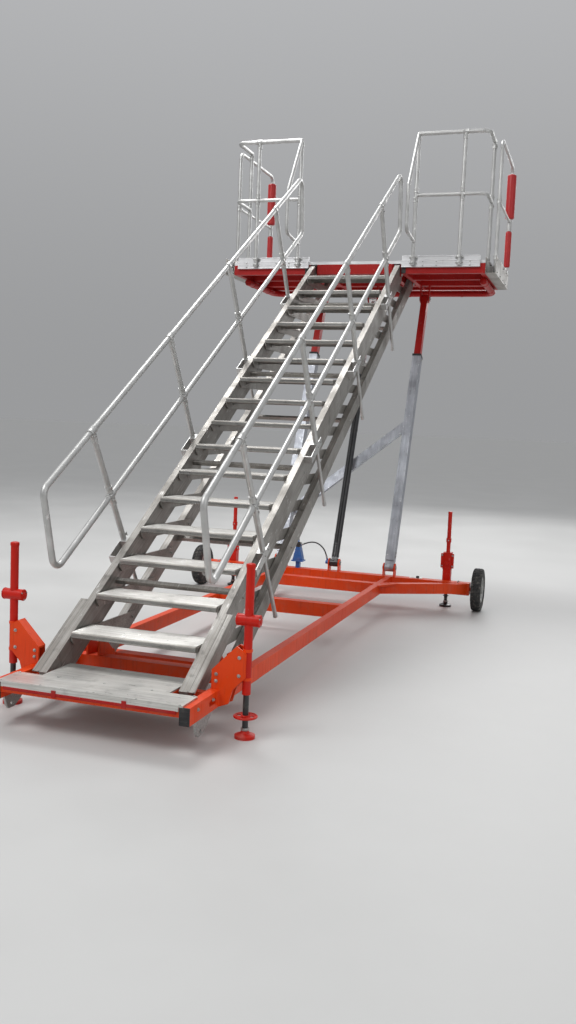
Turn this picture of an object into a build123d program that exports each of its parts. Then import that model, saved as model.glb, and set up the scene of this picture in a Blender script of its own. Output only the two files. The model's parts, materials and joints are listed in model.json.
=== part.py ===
from build123d import *
import os
from math import atan2, cos, hypot, radians, sin, tan

os.makedirs("parts", exist_ok=True)

# All lengths are in millimetres. X is across the stair, Y runs up it, Z is height above the floor.

# Stair: seventeen equal rises from the base plate to the deck
riser = 190
going = 300
rise_count = 17
base_top = 280
stair_clear = 860
running_gap = 0.3
side_gap = 5

# Treads with the level arms that reach back to the link tubes
tread_depth = 274
tread_height = 38
tread_skin = 5
tread_round = 10
arm_plate = 8
arm_front = 12
arm_lip = 4
arm_drop = 10
arm_low = 88
arm_chamfer = 28
arm_reach = 35
boss_radius = 16

# Stringers and link tubes, the two sides of the parallelogram
stringer_depth = 195
stringer_width = 50
stringer_end = 75
link_depth = 125
pivot_back = 165
pivot_drop = 50
link_back = 640
top_pin_back = 34
pin_radius = 15
top_ear_radius = 25
foot_ear_radius = 32
ear_plate = 12
outer_ear_plate = 10
tie_side = 30
doubler_start = 40
doubler_end = 690
doubler_width = 50
doubler_wall = 6

# Handrails
rail_offset = 35
tube_radius = 21
post_radius = 20
post_pitch = 1320
post_count = 4
spur_radius = 14
spur_start = 110
spur_end = 630
hand_rise = 1000
mid_rise = 400
rail_start = 110
rail_start_low = 250
rail_stop = 4780
rail_stop_low = 4850
bend = 70
strap_height = 60
strap_before = 200
strap_after = 80
strap_wall = 6
clamp_half = 35

# Chassis
rail_outer = 620
rail_width = 60
rail_height = 100
rail_top = 270
front_reach = 225
cap_thick = 10
hand_hole_back = 97
hand_hole_length = 100
hand_hole_height = 34
plate_margin = 40
plate_wide_back = -25
plate_narrow_back = 285
lip_drop = 25
lip_thick = 4
beam_depth = 110
beam_height = 120
beam_back = 4840
beam_inset = 80
front_beam_back = 4300
outrigger_back = 4323
outrigger_depth = 93
outrigger_inset = 20
gusset_reach = 150

# Wheels
wheel_radius = 215
wheel_width = 100
wheel_track = 3000
rim_radius = 125
rim_half = 38
axle_radius = 20
hub_radius = 40
axle_fit = 0.1

# Jacks
front_jack_x = 775
front_jack_back = 220
front_jack_top = 1000
front_jack_tube_low = 255
front_screw_top = 500
crank_z = 685
crank_half = 70
crank_radius = 34
jack_tube_radius = 25
jack_screw_radius = 17
jack_foot_radius = 60
jack_foot_thick = 18
jack_wheel_radius = 70
jack_wheel_z = 126
screw_fit = 1
gusset_thick = 12
rear_jack_inset = 250
rear_jack_top = 970
rear_block_half = 40
rear_block_wall = 6
rear_block_top = 550
rear_recess = 90
rear_tube_radius = 20
rear_collar_low = 660
rear_collar_height = 40
rear_screw_top = 400
rear_wheel_radius = 28
rear_wheel_z = 110

# Platform
platform_half = 1350
platform_depth = 1200
deck_thick = 30
frame_depth = 100
frame_width = 50
mid_bar_back = 425
hanger_beam_width = 100
toe_thick = 30
toe_upper_thick = 16
toe_near = 500
toe_far = 1300
toe_below = 71
toe_above = 46
guard_height = 1245
guard_mid = 640
guard_x = 1330
guard_post_below = 45
inner_post_x = 620
middle_post_x = 1090
side_post_back = 350
loop_reach = 440
loop_low = 180
loop_knee = 220
loop_radius = 18
guide_wall = 6
guide_width = 105
guide_below = 130
guide_above = 30
guide_inset = 10
bumper_radius = 36
bumper_reach = 60
bumper_inset = 50
bumper_front = 300
bumper_bend = 120

# Sliding guards
slide_x = 1420
slide_front = 250
slide_back_post = 1000
slide_reach = 1300
slide_top = 1230
slide_mid = 630
slide_low = 65
slide_radius = 19
slide_bar_radius = 14
slide_post_radius = 16
collar_radius = 26
sleeve_radius = 50
sleeve_low = 660
sleeve_height = 490
pad_radius = 34
pad_low = 130
pad_height = 400

# Lift linkage
leg_x = 590
leg_foot_height = 360
leg_top_back = 900
leg_top_drop = 270
leg_outer_length = 2400
leg_outer_width = 90
leg_outer_depth = 110
leg_inner_width = 70
leg_inner_depth = 90
leg_inner_start = 900
leg_slide_gap = 1
leg_heel = 70
brace_depth = 100
brace_thick = 40
brace_start = 545
brace_end = 1645
barrel_radius = 38
rod_radius = 22
rod_gap = 0.5
rod_start = 1150
barrel_length = 2300
barrel_heel = 60
barrel_wall_end = 160
ear_gap = 5
lift_ear_radius = 40
lift_ear_half = 45
washer_radius = 26

# Derived places
overall_length = front_reach + rise_count * going + slide_reach + sleeve_radius
stair_y = front_reach - overall_length / 2
front_y = stair_y - front_reach
slope = atan2(riser, going)
pitch = hypot(riser, going)
deck_y = stair_y + rise_count * going
deck_z = base_top + rise_count * riser
half_clear = stair_clear / 2
stringer_outer = half_clear + stringer_width
arm_outer = half_clear - side_gap
arm_inner = arm_outer - arm_plate
inner_ear = (arm_inner - side_gap - ear_plate, arm_inner - side_gap)
outer_ear = (stringer_outer + side_gap, stringer_outer + side_gap + outer_ear_plate)
beam_y = stair_y + beam_back
beam_half = wheel_track / 2 - beam_inset
wheel_x = wheel_track / 2
axle_z = wheel_radius
beam_low = axle_z - beam_height / 2
beam_top = axle_z + beam_height / 2
along = (0, cos(slope), sin(slope))
top_step = rise_count - (pivot_back - top_pin_back) / going
pin_lift = -pivot_drop * cos(slope) - pivot_back * sin(slope)
flange_lift = pin_lift + stringer_depth / 2


def pivot(step):
    """Pivot of a step on the stringer, as (y, z)."""
    return stair_y + step * going + pivot_back, base_top + step * riser - pivot_drop


def link_pivot(step):
    """Pivot of a step on the link tube, as (y, z)."""
    y, z = pivot(step)
    return y + link_back, z


def on_flight(run, lift):
    """Point at a run up the line of the nosings and a lift square to it, as (y, z)."""
    y = stair_y + run * cos(slope) - lift * sin(slope)
    z = base_top + run * sin(slope) + lift * cos(slope)
    return y, z


def bar(start, end, radius):
    """Round bar from start to end."""
    run = Vector(*end) - Vector(*start)
    with BuildSketch(Plane(origin=start, z_dir=run)) as section:
        Circle(radius)
    extrude(section.sketch, amount=run.length)


def cross_bar(sign, near, far, place, radius):
    """Round bar along X at place (y, z), from near to far on the side that sign gives."""
    y, z = place
    low, high = sorted((sign * near, sign * far))
    bar((low, y, z), (high, y, z), radius)


def bent_tube(points, bend_radius, radius):
    """Round tube along straight runs joined by bends."""
    with BuildLine() as route:
        FilletPolyline(*points, radius=bend_radius)
    with BuildSketch(Plane(origin=route.line @ 0, z_dir=route.line % 0)) as section:
        Circle(radius)
    sweep(section.sketch, path=route.line)


def block(low, high, mode=Mode.ADD):
    """Square block between two corners."""
    centre = tuple((a + b) / 2 for a, b in zip(low, high))
    size = tuple(abs(b - a) for a, b in zip(low, high))
    with Locations(centre):
        Box(*size, mode=mode)


def side_plate(outline, x_from, x_to):
    """Plate square to X, its outline given as (y, z) points."""
    with BuildSketch(Plane.YZ.offset(min(x_from, x_to))) as section:
        with BuildLine():
            Polyline(*outline, close=True)
        make_face()
    extrude(section.sketch, amount=abs(x_to - x_from))


def front_plate(outline, y_low, y_high):
    """Plate square to Y, its outline given as (x, z) points."""
    with BuildSketch(Plane.XZ.offset(-y_high)) as section:
        with BuildLine():
            Polyline(*outline, close=True)
        make_face()
    extrude(section.sketch, amount=y_high - y_low)


def top_plate(outline, z_low, z_high):
    """Plate square to Z, its outline given as (x, y) points."""
    with BuildSketch(Plane.XY.offset(z_low)) as section:
        with BuildLine():
            Polyline(*outline, close=True)
        make_face()
    extrude(section.sketch, amount=z_high - z_low)


def flight_plate(runs, lifts, x_from, x_to):
    """Plate lined up with the flight, between two runs, two lifts and two X places."""
    corners = zip(runs + runs[::-1], (lifts[0], lifts[0], lifts[1], lifts[1]))
    outline = [on_flight(run, lift) for run, lift in corners]
    side_plate(outline, x_from, x_to)


def save(piece, name):
    """Label a finished piece and write it out."""
    piece.part.label = name
    export_step(piece.part, f"parts/{name}.step")


# Chassis rails: two box tubes, closed at the front by the rubber caps
rail_front = front_y + cap_thick
rail_inner = rail_outer - rail_width
rail_low = rail_top - rail_height
with BuildPart() as chassis_rails:
    block((rail_inner, rail_front, rail_low), (rail_outer, beam_y - beam_depth / 2, rail_top))
    with BuildSketch(Plane.YZ.offset(rail_outer)) as hand_holes:
        with Locations((stair_y + hand_hole_back, (rail_low + rail_top) / 2)):
            SlotOverall(hand_hole_length, hand_hole_height)
    extrude(hand_holes.sketch, amount=-rail_width / 2, mode=Mode.SUBTRACT)
    mirror(about=Plane.YZ)
save(chassis_rails, "chassis_rails")

with BuildPart() as end_caps:
    block((rail_inner, front_y, rail_low), (rail_outer, rail_front, rail_top))
    mirror(about=Plane.YZ)
save(end_caps, "end_caps")

# Cross members: name, start behind the first nosing, depth along Y, low and high edge
cross_table = [
    ("front", cap_thick - front_reach, 60, 210, rail_top),
    ("foot", 620, 80, 170, 250),
    ("middle", 940, 90, 120, 200),
    ("rear", 3050, 90, 150, 265),
    ("beam", front_beam_back, outrigger_depth, rail_low, rail_top),
]
beam_front = beam_y - beam_depth / 2
outrigger_y = stair_y + outrigger_back
outrigger_x = beam_half - outrigger_inset
outrigger_lean = (beam_front - outrigger_y) / (outrigger_x - rail_outer)
outrigger_width = outrigger_depth / outrigger_lean
with BuildPart() as cross_members:
    for name, back, depth, low, high in cross_table:
        block((-rail_inner, stair_y + back, low), (rail_inner, stair_y + back + depth, high))
    for sign in (-1, 1):
        top_plate(
            (
                (sign * rail_outer, outrigger_y),
                (sign * outrigger_x, beam_front),
                (sign * (outrigger_x - outrigger_width), beam_front),
                (sign * rail_outer, outrigger_y + outrigger_depth),
            ),
            rail_low,
            rail_top,
        )
        top_plate(
            (
                (sign * rail_outer, outrigger_y - gusset_reach),
                (sign * (rail_outer + gusset_reach), outrigger_y + gusset_reach * outrigger_lean),
                (sign * rail_outer, outrigger_y),
            ),
            rail_top - gusset_thick,
            rail_top,
        )
save(cross_members, "cross_members")

# Foot carriers: flats under the base plate hold the stringer pins, forks behind them the link pins
stringer_foot = pivot(0)
link_foot = link_pivot(0)
flat_low = 210
flat_front = stair_y + cross_table[0][1] + cross_table[0][2]
stub_half = 25
fork_front = stair_y + cross_table[1][1]
fork_back = fork_front + cross_table[1][2]
fork_seat = cross_table[1][4]
fork_top = 366
fork_crown = 58
with BuildPart() as foot_carriers:
    foot_y, foot_z = stringer_foot
    link_y, link_z = link_foot
    for sign in (-1, 1):
        block(
            (sign * inner_ear[0], flat_front, flat_low),
            (sign * inner_ear[1], foot_y, rail_top),
        )
        block(
            (sign * outer_ear[1], foot_y - stub_half, foot_z - stub_half),
            (sign * rail_inner, foot_y + stub_half, foot_z + stub_half),
        )
        for near, far in (inner_ear, outer_ear):
            cross_bar(sign, near, far, stringer_foot, foot_ear_radius)
            side_plate(
                (
                    (fork_front, fork_seat),
                    (fork_front + tread_round, fork_top),
                    (fork_front + tread_round + fork_crown, fork_top),
                    (link_y + foot_ear_radius, link_z),
                    (link_y, link_z - foot_ear_radius),
                    (fork_back, link_z - foot_ear_radius),
                    (fork_back, fork_seat),
                ),
                sign * near,
                sign * far,
            )
            cross_bar(sign, near, far, link_foot, foot_ear_radius)
save(foot_carriers, "foot_carriers")

# Base plate: wide in front of the stringers with a folded lip, narrow between them
plate_wide = rail_outer - plate_margin
plate_narrow = inner_ear[1] - side_gap / 2
with BuildPart() as base_plate:
    block((-plate_wide, front_y, rail_top), (plate_wide, stair_y + plate_wide_back, base_top))
    block(
        (-plate_narrow, stair_y + plate_wide_back, rail_top),
        (plate_narrow, stair_y + plate_narrow_back, base_top),
    )
    block(
        (-rail_inner + side_gap, front_y, rail_top - lip_drop),
        (rail_inner - side_gap, front_y + lip_thick, rail_top),
    )
save(base_plate, "base_plate")

# Rear beam with its clevises and stub axles
barrel_half = barrel_radius + 4
foot_clevises = (
    (leg_x, leg_outer_width / 2),
    (-leg_x, leg_outer_width / 2),
    (0, barrel_half),
)
head_clevises = (
    (leg_x, leg_inner_width / 2),
    (-leg_x, leg_inner_width / 2),
    (0, barrel_half),
)
with BuildPart() as axle_beam:
    block((-beam_half, beam_y - beam_depth / 2, beam_low), (beam_half, beam_y + beam_depth / 2, beam_top))
    for centre_x, half in foot_clevises:
        for x_low in (centre_x - half - ear_gap - ear_plate, centre_x + half + ear_gap):
            x_high = x_low + ear_plate
            block(
                (x_low, beam_y - lift_ear_half, beam_top),
                (x_high, beam_y + lift_ear_half, leg_foot_height),
            )
            bar((x_low, beam_y, leg_foot_height), (x_high, beam_y, leg_foot_height), lift_ear_half)
    for sign in (-1, 1):
        cross_bar(sign, beam_half, wheel_x + wheel_width / 2, (beam_y, axle_z), axle_radius)
save(axle_beam, "axle_beam")

# Tow lugs under the rails' front ends, each bored for a tow bar's bolt
lug_plate = 15
lug_hole = 11
lug_y = stair_y - 50
lug_bolt_z = 97
lug_x = rail_outer - lug_plate
lug_front = 80
lug_back = 170
lug_low_half = 28
with BuildPart() as tow_lugs:
    side_plate(
        (
            (lug_y - lug_front, rail_low),
            (lug_y + lug_back, rail_low),
            (lug_y + lug_front, lug_bolt_z),
            (lug_y + lug_low_half, lug_bolt_z - lug_low_half),
            (lug_y - lug_low_half, lug_bolt_z - lug_low_half),
            (lug_y - lug_front + lug_low_half, lug_bolt_z),
        ),
        lug_x - lug_plate / 2,
        lug_x + lug_plate / 2,
    )
    with BuildSketch(Plane.YZ.offset(lug_x - lug_plate / 2)) as lug_bore:
        with Locations((lug_y, lug_bolt_z)):
            Circle(lug_hole)
    extrude(lug_bore.sketch, amount=lug_plate, mode=Mode.SUBTRACT)
    mirror(about=Plane.YZ)
save(tow_lugs, "tow_lugs")

# Front jacks: pairs of gussets with a sloping top flange hold the red tubes off the rails
front_jack_y = stair_y + front_jack_back
gusset_top = 535
gusset_knee = 385
gusset_shoulder = 55
gusset_tip = 500
gusset_foot = 354
gusset_low = 280
with BuildPart() as front_jack_brackets:
    for y_low in (front_jack_y - jack_tube_radius - gusset_thick, front_jack_y + jack_tube_radius):
        front_plate(
            (
                (rail_outer, rail_low),
                (rail_outer, rail_top),
                (rail_inner + gusset_thick, rail_top),
                (rail_inner + gusset_thick, gusset_knee),
                (front_jack_x - gusset_shoulder, gusset_top),
                (front_jack_x, gusset_tip),
                (front_jack_x, gusset_foot),
                (front_jack_x - jack_wheel_radius, gusset_low),
                (front_jack_x - jack_wheel_radius - jack_tube_radius, rail_low + jack_tube_radius),
            ),
            y_low,
            y_low + gusset_thick,
        )
    front_plate(
        (
            (rail_inner + gusset_thick, gusset_knee),
            (rail_inner + gusset_thick, gusset_knee - gusset_thick),
            (front_jack_x - gusset_shoulder, gusset_top - gusset_thick),
            (front_jack_x - gusset_shoulder, gusset_top),
        ),
        front_jack_y - jack_tube_radius,
        front_jack_y + jack_tube_radius,
    )
    mirror(about=Plane.YZ)
save(front_jack_brackets, "front_jack_brackets")

crank_case_gap = 50
with BuildPart() as front_jack_tubes:
    bar(
        (front_jack_x, front_jack_y, front_jack_tube_low),
        (front_jack_x, front_jack_y, front_jack_top),
        jack_tube_radius,
    )
    cross_bar(1, front_jack_x - crank_half, front_jack_x + crank_half, (front_jack_y, crank_z), crank_radius)
    with BuildSketch(Plane.XY.offset(front_jack_tube_low)) as front_bore:
        with Locations((front_jack_x, front_jack_y)):
            Circle(jack_screw_radius + screw_fit)
    extrude(front_bore.sketch, amount=crank_z - crank_case_gap - front_jack_tube_low, mode=Mode.SUBTRACT)
    mirror(about=Plane.YZ)
save(front_jack_tubes, "front_jack_tubes")

# Rear jacks stand behind the beam
rear_jack_x = beam_half - rear_jack_inset
rear_jack_y = beam_y + beam_depth / 2 + rear_block_half
rear_bore_top = rear_block_top + 25
with BuildPart() as rear_jack_tubes:
    block(
        (rear_jack_x - rear_block_half, rear_jack_y - rear_block_half, beam_low),
        (rear_jack_x + rear_block_half, rear_jack_y + rear_block_half, rear_block_top),
    )
    bar(
        (rear_jack_x, rear_jack_y, rear_block_top),
        (rear_jack_x, rear_jack_y, rear_jack_top),
        rear_tube_radius,
    )
    bar(
        (rear_jack_x, rear_jack_y, rear_collar_low),
        (rear_jack_x, rear_jack_y, rear_collar_low + rear_collar_height),
        collar_radius,
    )
    with BuildSketch(Plane.XY.offset(beam_low)) as rear_bore:
        with Locations((rear_jack_x, rear_jack_y)):
            Circle(jack_screw_radius + screw_fit)
    extrude(rear_bore.sketch, amount=rear_bore_top - beam_low, mode=Mode.SUBTRACT)
    recess_half = rear_block_half - rear_block_wall
    block(
        (rear_jack_x - recess_half, rear_jack_y - recess_half, beam_low),
        (rear_jack_x + recess_half, rear_jack_y + recess_half, beam_low + rear_recess),
        Mode.SUBTRACT,
    )
    mirror(about=Plane.YZ)
save(rear_jack_tubes, "rear_jack_tubes")

# Jack feet: name, x, y and height of the screw's top
foot_table = [
    ("front_jack_foot_left", -front_jack_x, front_jack_y, front_screw_top),
    ("front_jack_foot_right", front_jack_x, front_jack_y, front_screw_top),
    ("rear_jack_foot_left", -rear_jack_x, rear_jack_y, rear_screw_top),
    ("rear_jack_foot_right", rear_jack_x, rear_jack_y, rear_screw_top),
]

# Hand wheels at the front and the rear: height, radius and width of the rim
front_hand = (jack_wheel_z, jack_wheel_radius, 12)
rear_hand = (rear_wheel_z, rear_wheel_radius, 8)
hand_web = 3
hand_half = 4
hand_hole = 16
foot_step = 12
foot_cone = 30
for name, foot_x, foot_y, screw_top in foot_table:
    hand_z, hand_radius, hand_rim = front_hand if foot_y == front_jack_y else rear_hand
    with BuildPart() as jack_foot:
        with BuildSketch(Plane(origin=(foot_x, foot_y, 0), x_dir=(1, 0, 0), z_dir=(0, -1, 0))) as profile:
            with BuildLine():
                Polyline(
                    (0, 0),
                    (jack_foot_radius, 0),
                    (jack_foot_radius, jack_foot_thick),
                    (jack_foot_radius / 2, jack_foot_thick + foot_step),
                    (jack_screw_radius, jack_foot_thick + foot_cone),
                    (jack_screw_radius, hand_z - hand_web),
                    (hand_radius - hand_rim, hand_z - hand_web),
                    (hand_radius - hand_rim, hand_z - hand_half),
                    (hand_radius, hand_z - hand_half),
                    (hand_radius, hand_z + hand_half),
                    (hand_radius - hand_rim, hand_z + hand_half),
                    (hand_radius - hand_rim, hand_z + hand_web),
                    (jack_screw_radius, hand_z + hand_web),
                    (jack_screw_radius, screw_top),
                    (0, screw_top),
                    close=True,
                )
            make_face()
        revolve(profile.sketch, axis=Axis((foot_x, foot_y, 0), (0, 0, 1)))
        if foot_y == front_jack_y:
            with BuildSketch(Plane.XY.offset(hand_z - hand_half)) as openings:
                with Locations((foot_x, foot_y)):
                    with PolarLocations((jack_screw_radius + hand_radius - hand_rim) / 2, 4):
                        Circle(hand_hole)
            extrude(openings.sketch, amount=2 * hand_half, mode=Mode.SUBTRACT)
    save(jack_foot, name)

# Wheels: share of half the width and share of the way from rim to tread, round the tyre's section
tyre_table = [
    (0.76, 0.0),
    (0.94, 0.28),
    (1.0, 0.6),
    (0.88, 0.87),
    (0.56, 0.98),
    (0.0, 1.0),
]
dish_out = 15
dish_in = 3
hub_out = 45
hub_in = 35
well_radius = 105
dish_radius = 95
for name, sign in (("left", -1), ("right", 1)):
    wheel_plane = Plane(origin=(sign * wheel_x, beam_y, axle_z), x_dir=(sign, 0, 0), z_dir=(0, -sign, 0))
    wheel_axis = Axis((sign * wheel_x, beam_y, axle_z), (1, 0, 0))
    tyre_rise = wheel_radius - rim_radius
    half_section = [(wheel_width / 2 * share, rim_radius + tyre_rise * rise) for share, rise in tyre_table]
    mirrored = [(-x, z) for x, z in half_section[:-1]]
    with BuildPart() as tyre:
        with BuildSketch(wheel_plane) as section:
            with BuildLine():
                Polyline(*half_section, *mirrored[::-1], close=True)
            make_face()
        revolve(section.sketch, axis=wheel_axis)
    save(tyre, f"tyre_{name}")

    with BuildPart() as rim:
        with BuildSketch(wheel_plane) as section:
            with BuildLine():
                Polyline(
                    (-hub_in, axle_radius + axle_fit),
                    (hub_out, axle_radius + axle_fit),
                    (hub_out, hub_radius),
                    (dish_out, hub_radius),
                    (dish_out, dish_radius),
                    (rim_half, well_radius),
                    (rim_half, rim_radius),
                    (-rim_half, rim_radius),
                    (-rim_half, well_radius),
                    (dish_in, dish_radius),
                    (dish_in, hub_radius),
                    (-hub_in, hub_radius),
                    close=True,
                )
            make_face()
        revolve(section.sketch, axis=wheel_axis)
    save(rim, f"rim_{name}")

# Stringers: box sections with round top ends, pin bosses, and a doubler angle outside each foot
stringer_top = pivot(top_step)
for name, sign in (("left", -1), ("right", 1)):
    with BuildPart() as stringer:
        foot = Vector(sign * (half_clear + stringer_width / 2), *stringer_foot)
        start = foot - stringer_end * Vector(*along)
        with BuildSketch(Plane(origin=start, x_dir=(1, 0, 0), z_dir=along)) as box:
            Rectangle(stringer_width, stringer_depth)
        extrude(box.sketch, amount=top_step * pitch + stringer_end)
        cross_bar(sign, half_clear, stringer_outer, stringer_top, stringer_depth / 2)
        for place in (stringer_foot, stringer_top):
            cross_bar(sign, inner_ear[1] + running_gap, outer_ear[0] - running_gap, place, pin_radius)
        for drop, width in ((doubler_wall, doubler_width), (doubler_width, doubler_wall)):
            flight_plate(
                (doubler_start, doubler_end),
                (flange_lift - drop, flange_lift),
                sign * stringer_outer,
                sign * (stringer_outer + width),
            )
    save(stringer, f"stringer_{name}")

# Stair ties: step, then the place behind and above that step's pivot
tie_back = 125
tie_lift = 96
with BuildPart() as stair_ties:
    for step in (2, 6, 10, 14):
        tie_y, tie_z = pivot(step)
        origin = (-half_clear, tie_y + tie_back, tie_z + tie_lift)
        with BuildSketch(Plane(origin=origin, x_dir=along, z_dir=(1, 0, 0))) as tie:
            Rectangle(tie_side, tie_side)
        extrude(tie.sketch, amount=stair_clear)
save(stair_ties, "stair_ties")

# Link tubes: the lower bars of the parallelogram, tied across
with BuildPart() as link_tubes:
    for sign in (-1, 1):
        start = Vector(sign * (half_clear + stringer_width / 2), *link_foot)
        with BuildSketch(Plane(origin=start, x_dir=(1, 0, 0), z_dir=along)) as tube:
            Rectangle(stringer_width, link_depth)
        extrude(tube.sketch, amount=top_step * pitch)
        for place in (link_foot, link_pivot(top_step)):
            cross_bar(sign, half_clear, stringer_outer, place, link_depth / 2)
            cross_bar(sign, inner_ear[1] + running_gap, outer_ear[0] - running_gap, place, pin_radius)
    for step in (3, 8, 13):
        tie_y, tie_z = link_pivot(step)
        origin = (-half_clear, tie_y + going / 2, tie_z + riser / 2)
        with BuildSketch(Plane(origin=origin, x_dir=along, z_dir=(1, 0, 0))) as tie:
            Rectangle(tie_side, tie_side)
        extrude(tie.sketch, amount=stair_clear)
save(link_tubes, "link_tubes")

# Treads: ribbed planks between end plates whose level arms reach back to the link tubes
cell_width = (tread_depth - 3 * tread_skin - 2 * tread_round) / 2
for step in range(1, rise_count):
    nose_y = stair_y + step * going
    nose_z = base_top + step * riser
    rear_y, rear_z = link_pivot(step)
    first_cell = nose_y + tread_round + tread_skin + cell_width / 2
    with BuildPart() as tread:
        with BuildSketch(Plane.YZ.offset(-arm_inner)) as plank:
            with Locations((nose_y + tread_depth / 2, nose_z - tread_height / 2)):
                RectangleRounded(tread_depth, tread_height, tread_round)
            for cell_y in (first_cell, first_cell + cell_width + tread_skin):
                with Locations((cell_y, nose_z - tread_height / 2 - tread_skin)):
                    Rectangle(cell_width, tread_height, mode=Mode.SUBTRACT)
        extrude(plank.sketch, amount=2 * arm_inner)
        for x_low in (-arm_outer, arm_inner):
            side_plate(
                (
                    (nose_y + arm_front, nose_z - arm_lip),
                    (nose_y + tread_depth - arm_front, nose_z - arm_lip),
                    (nose_y + tread_depth, nose_z - arm_drop),
                    (rear_y + arm_reach, nose_z - arm_drop),
                    (rear_y + arm_reach, nose_z - arm_low),
                    (nose_y + arm_front + arm_chamfer, nose_z - arm_low),
                    (nose_y + arm_front, nose_z - arm_low + arm_chamfer),
                ),
                x_low,
                x_low + arm_plate,
            )
        for sign in (-1, 1):
            for place in (pivot(step), (rear_y, rear_z)):
                cross_bar(sign, arm_outer, half_clear - running_gap, place, boss_radius)
    save(tread, f"tread_{step:02d}")

# Handrails: a closed loop of tube along each side, on posts square to the stringer
rail_x = stringer_outer + rail_offset
strap_x = rail_x + tube_radius
for name, sign in (("left", -1), ("right", 1)):
    with BuildPart() as handrail:
        def on_rail(back, rise):
            return sign * rail_x, stair_y + back, base_top + back * riser / going + rise

        middle = (rail_start + rail_stop) / 2
        bent_tube(
            [
                on_rail(middle, hand_rise),
                on_rail(rail_start, hand_rise),
                on_rail(rail_start_low, mid_rise),
                on_rail(middle, mid_rise),
            ],
            bend,
            tube_radius,
        )
        bent_tube(
            [
                on_rail(middle, hand_rise),
                on_rail(rail_stop, hand_rise),
                on_rail(rail_stop_low, mid_rise),
                on_rail(middle, mid_rise),
            ],
            bend,
            tube_radius,
        )
        for index in range(1, post_count + 1):
            run = index * post_pitch
            head = on_flight(run, hand_rise * cos(slope))
            waist = on_flight(run, -spur_start)
            tip = on_flight(run, -spur_end)
            bar((sign * rail_x, *waist), (sign * rail_x, *head), post_radius)
            bar((sign * rail_x, *tip), (sign * rail_x, *waist), spur_radius)
            lifts = (flange_lift - strap_height, flange_lift)
            for low_run, high_run, near in (
                (run - clamp_half, run + clamp_half, stringer_outer + running_gap),
                (run - strap_before, run + strap_after, strap_x - strap_wall),
                (run - strap_before, run - strap_before + strap_wall, stringer_outer + running_gap),
            ):
                flight_plate((low_run, high_run), lifts, sign * near, sign * strap_x)
    save(handrail, f"handrail_{name}")

# Platform frame: longitudinals, the cross bars between them, and the ears and hangers below
frame_top = deck_z - deck_thick
frame_low = frame_top - frame_depth
platform_rear = deck_y + platform_depth
hanger_y = deck_y + leg_top_back
hanger_z = deck_z - leg_top_drop
link_top = link_pivot(top_step)
long_table = (
    (inner_ear[0] - frame_width, inner_ear[0]),
    (outer_ear[1], outer_ear[1] + frame_width),
    (platform_half - frame_width, platform_half),
)
with BuildPart() as frame_longitudinals:
    for near, far in long_table:
        for sign in (-1, 1):
            block((sign * near, deck_y, frame_low), (sign * far, platform_rear, frame_top))
save(frame_longitudinals, "frame_longitudinals")

# Cross bars: start and end behind the deck's edge, and if they also cross the stringer's bays
bar_table = [
    (0, frame_width, False),
    (mid_bar_back, mid_bar_back + frame_width, False),
    (leg_top_back - hanger_beam_width / 2, leg_top_back + hanger_beam_width / 2, True),
    (platform_depth - frame_width, platform_depth, True),
]
with BuildPart() as frame_crossbars:
    for front, back, whole in bar_table:
        low = (deck_y + front, frame_low)
        high = (deck_y + back, frame_top)
        block((-long_table[0][0], *low), (long_table[0][0], *high))
        for sign in (-1, 1):
            block((sign * long_table[1][1], *low), (sign * long_table[2][0], *high))
            if whole:
                block((sign * long_table[0][1], *low), (sign * long_table[1][0], *high))
save(frame_crossbars, "frame_crossbars")

with BuildPart() as frame_hangers:
    for sign in (-1, 1):
        for near, far in (inner_ear, outer_ear):
            for ear_y, ear_z in (stringer_top, link_top):
                block(
                    (sign * near, ear_y - top_ear_radius, ear_z),
                    (sign * far, ear_y + top_ear_radius, frame_top),
                )
                cross_bar(sign, near, far, (ear_y, ear_z), top_ear_radius)
    for centre_x, half in head_clevises:
        for x_low in (centre_x - half - ear_gap - ear_plate, centre_x + half + ear_gap):
            x_high = x_low + ear_plate
            block(
                (x_low, hanger_y - lift_ear_half, hanger_z),
                (x_high, hanger_y + lift_ear_half, frame_low),
            )
            bar((x_low, hanger_y, hanger_z), (x_high, hanger_y, hanger_z), lift_ear_half)
save(frame_hangers, "frame_hangers")

with BuildPart() as deck:
    block((-platform_half, deck_y, frame_top), (platform_half, platform_rear, deck_z))
save(deck, "deck")

# Toe boards in front of the deck's edge: a thick lower fold and a thin upper one
with BuildPart() as toe_boards:
    for sign in (-1, 1):
        side_plate(
            (
                (deck_y, deck_z - toe_below),
                (deck_y, deck_z + toe_above),
                (deck_y - toe_upper_thick, deck_z + toe_above),
                (deck_y - toe_upper_thick, deck_z),
                (deck_y - toe_thick, deck_z),
                (deck_y - toe_thick, deck_z - toe_below),
            ),
            sign * toe_near,
            sign * toe_far,
        )
save(toe_boards, "toe_boards")

# Side guides: open channels along the deck's sides, which the sliding guards run in
guide_low = deck_z - guide_below
guide_out = platform_half + guide_width
guide_table = (
    (platform_half, guide_out, guide_low, guide_low + guide_wall),
    (platform_half, platform_half + guide_wall, guide_low, deck_z + guide_above),
    (guide_out - guide_wall, guide_out, guide_low, deck_z + toe_above),
)
with BuildPart() as side_guides:
    for sign in (-1, 1):
        for near, far, low, high in guide_table:
            block(
                (sign * near, deck_y + guide_inset, low),
                (sign * far, platform_rear - guide_inset, high),
            )
save(side_guides, "side_guides")

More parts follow.
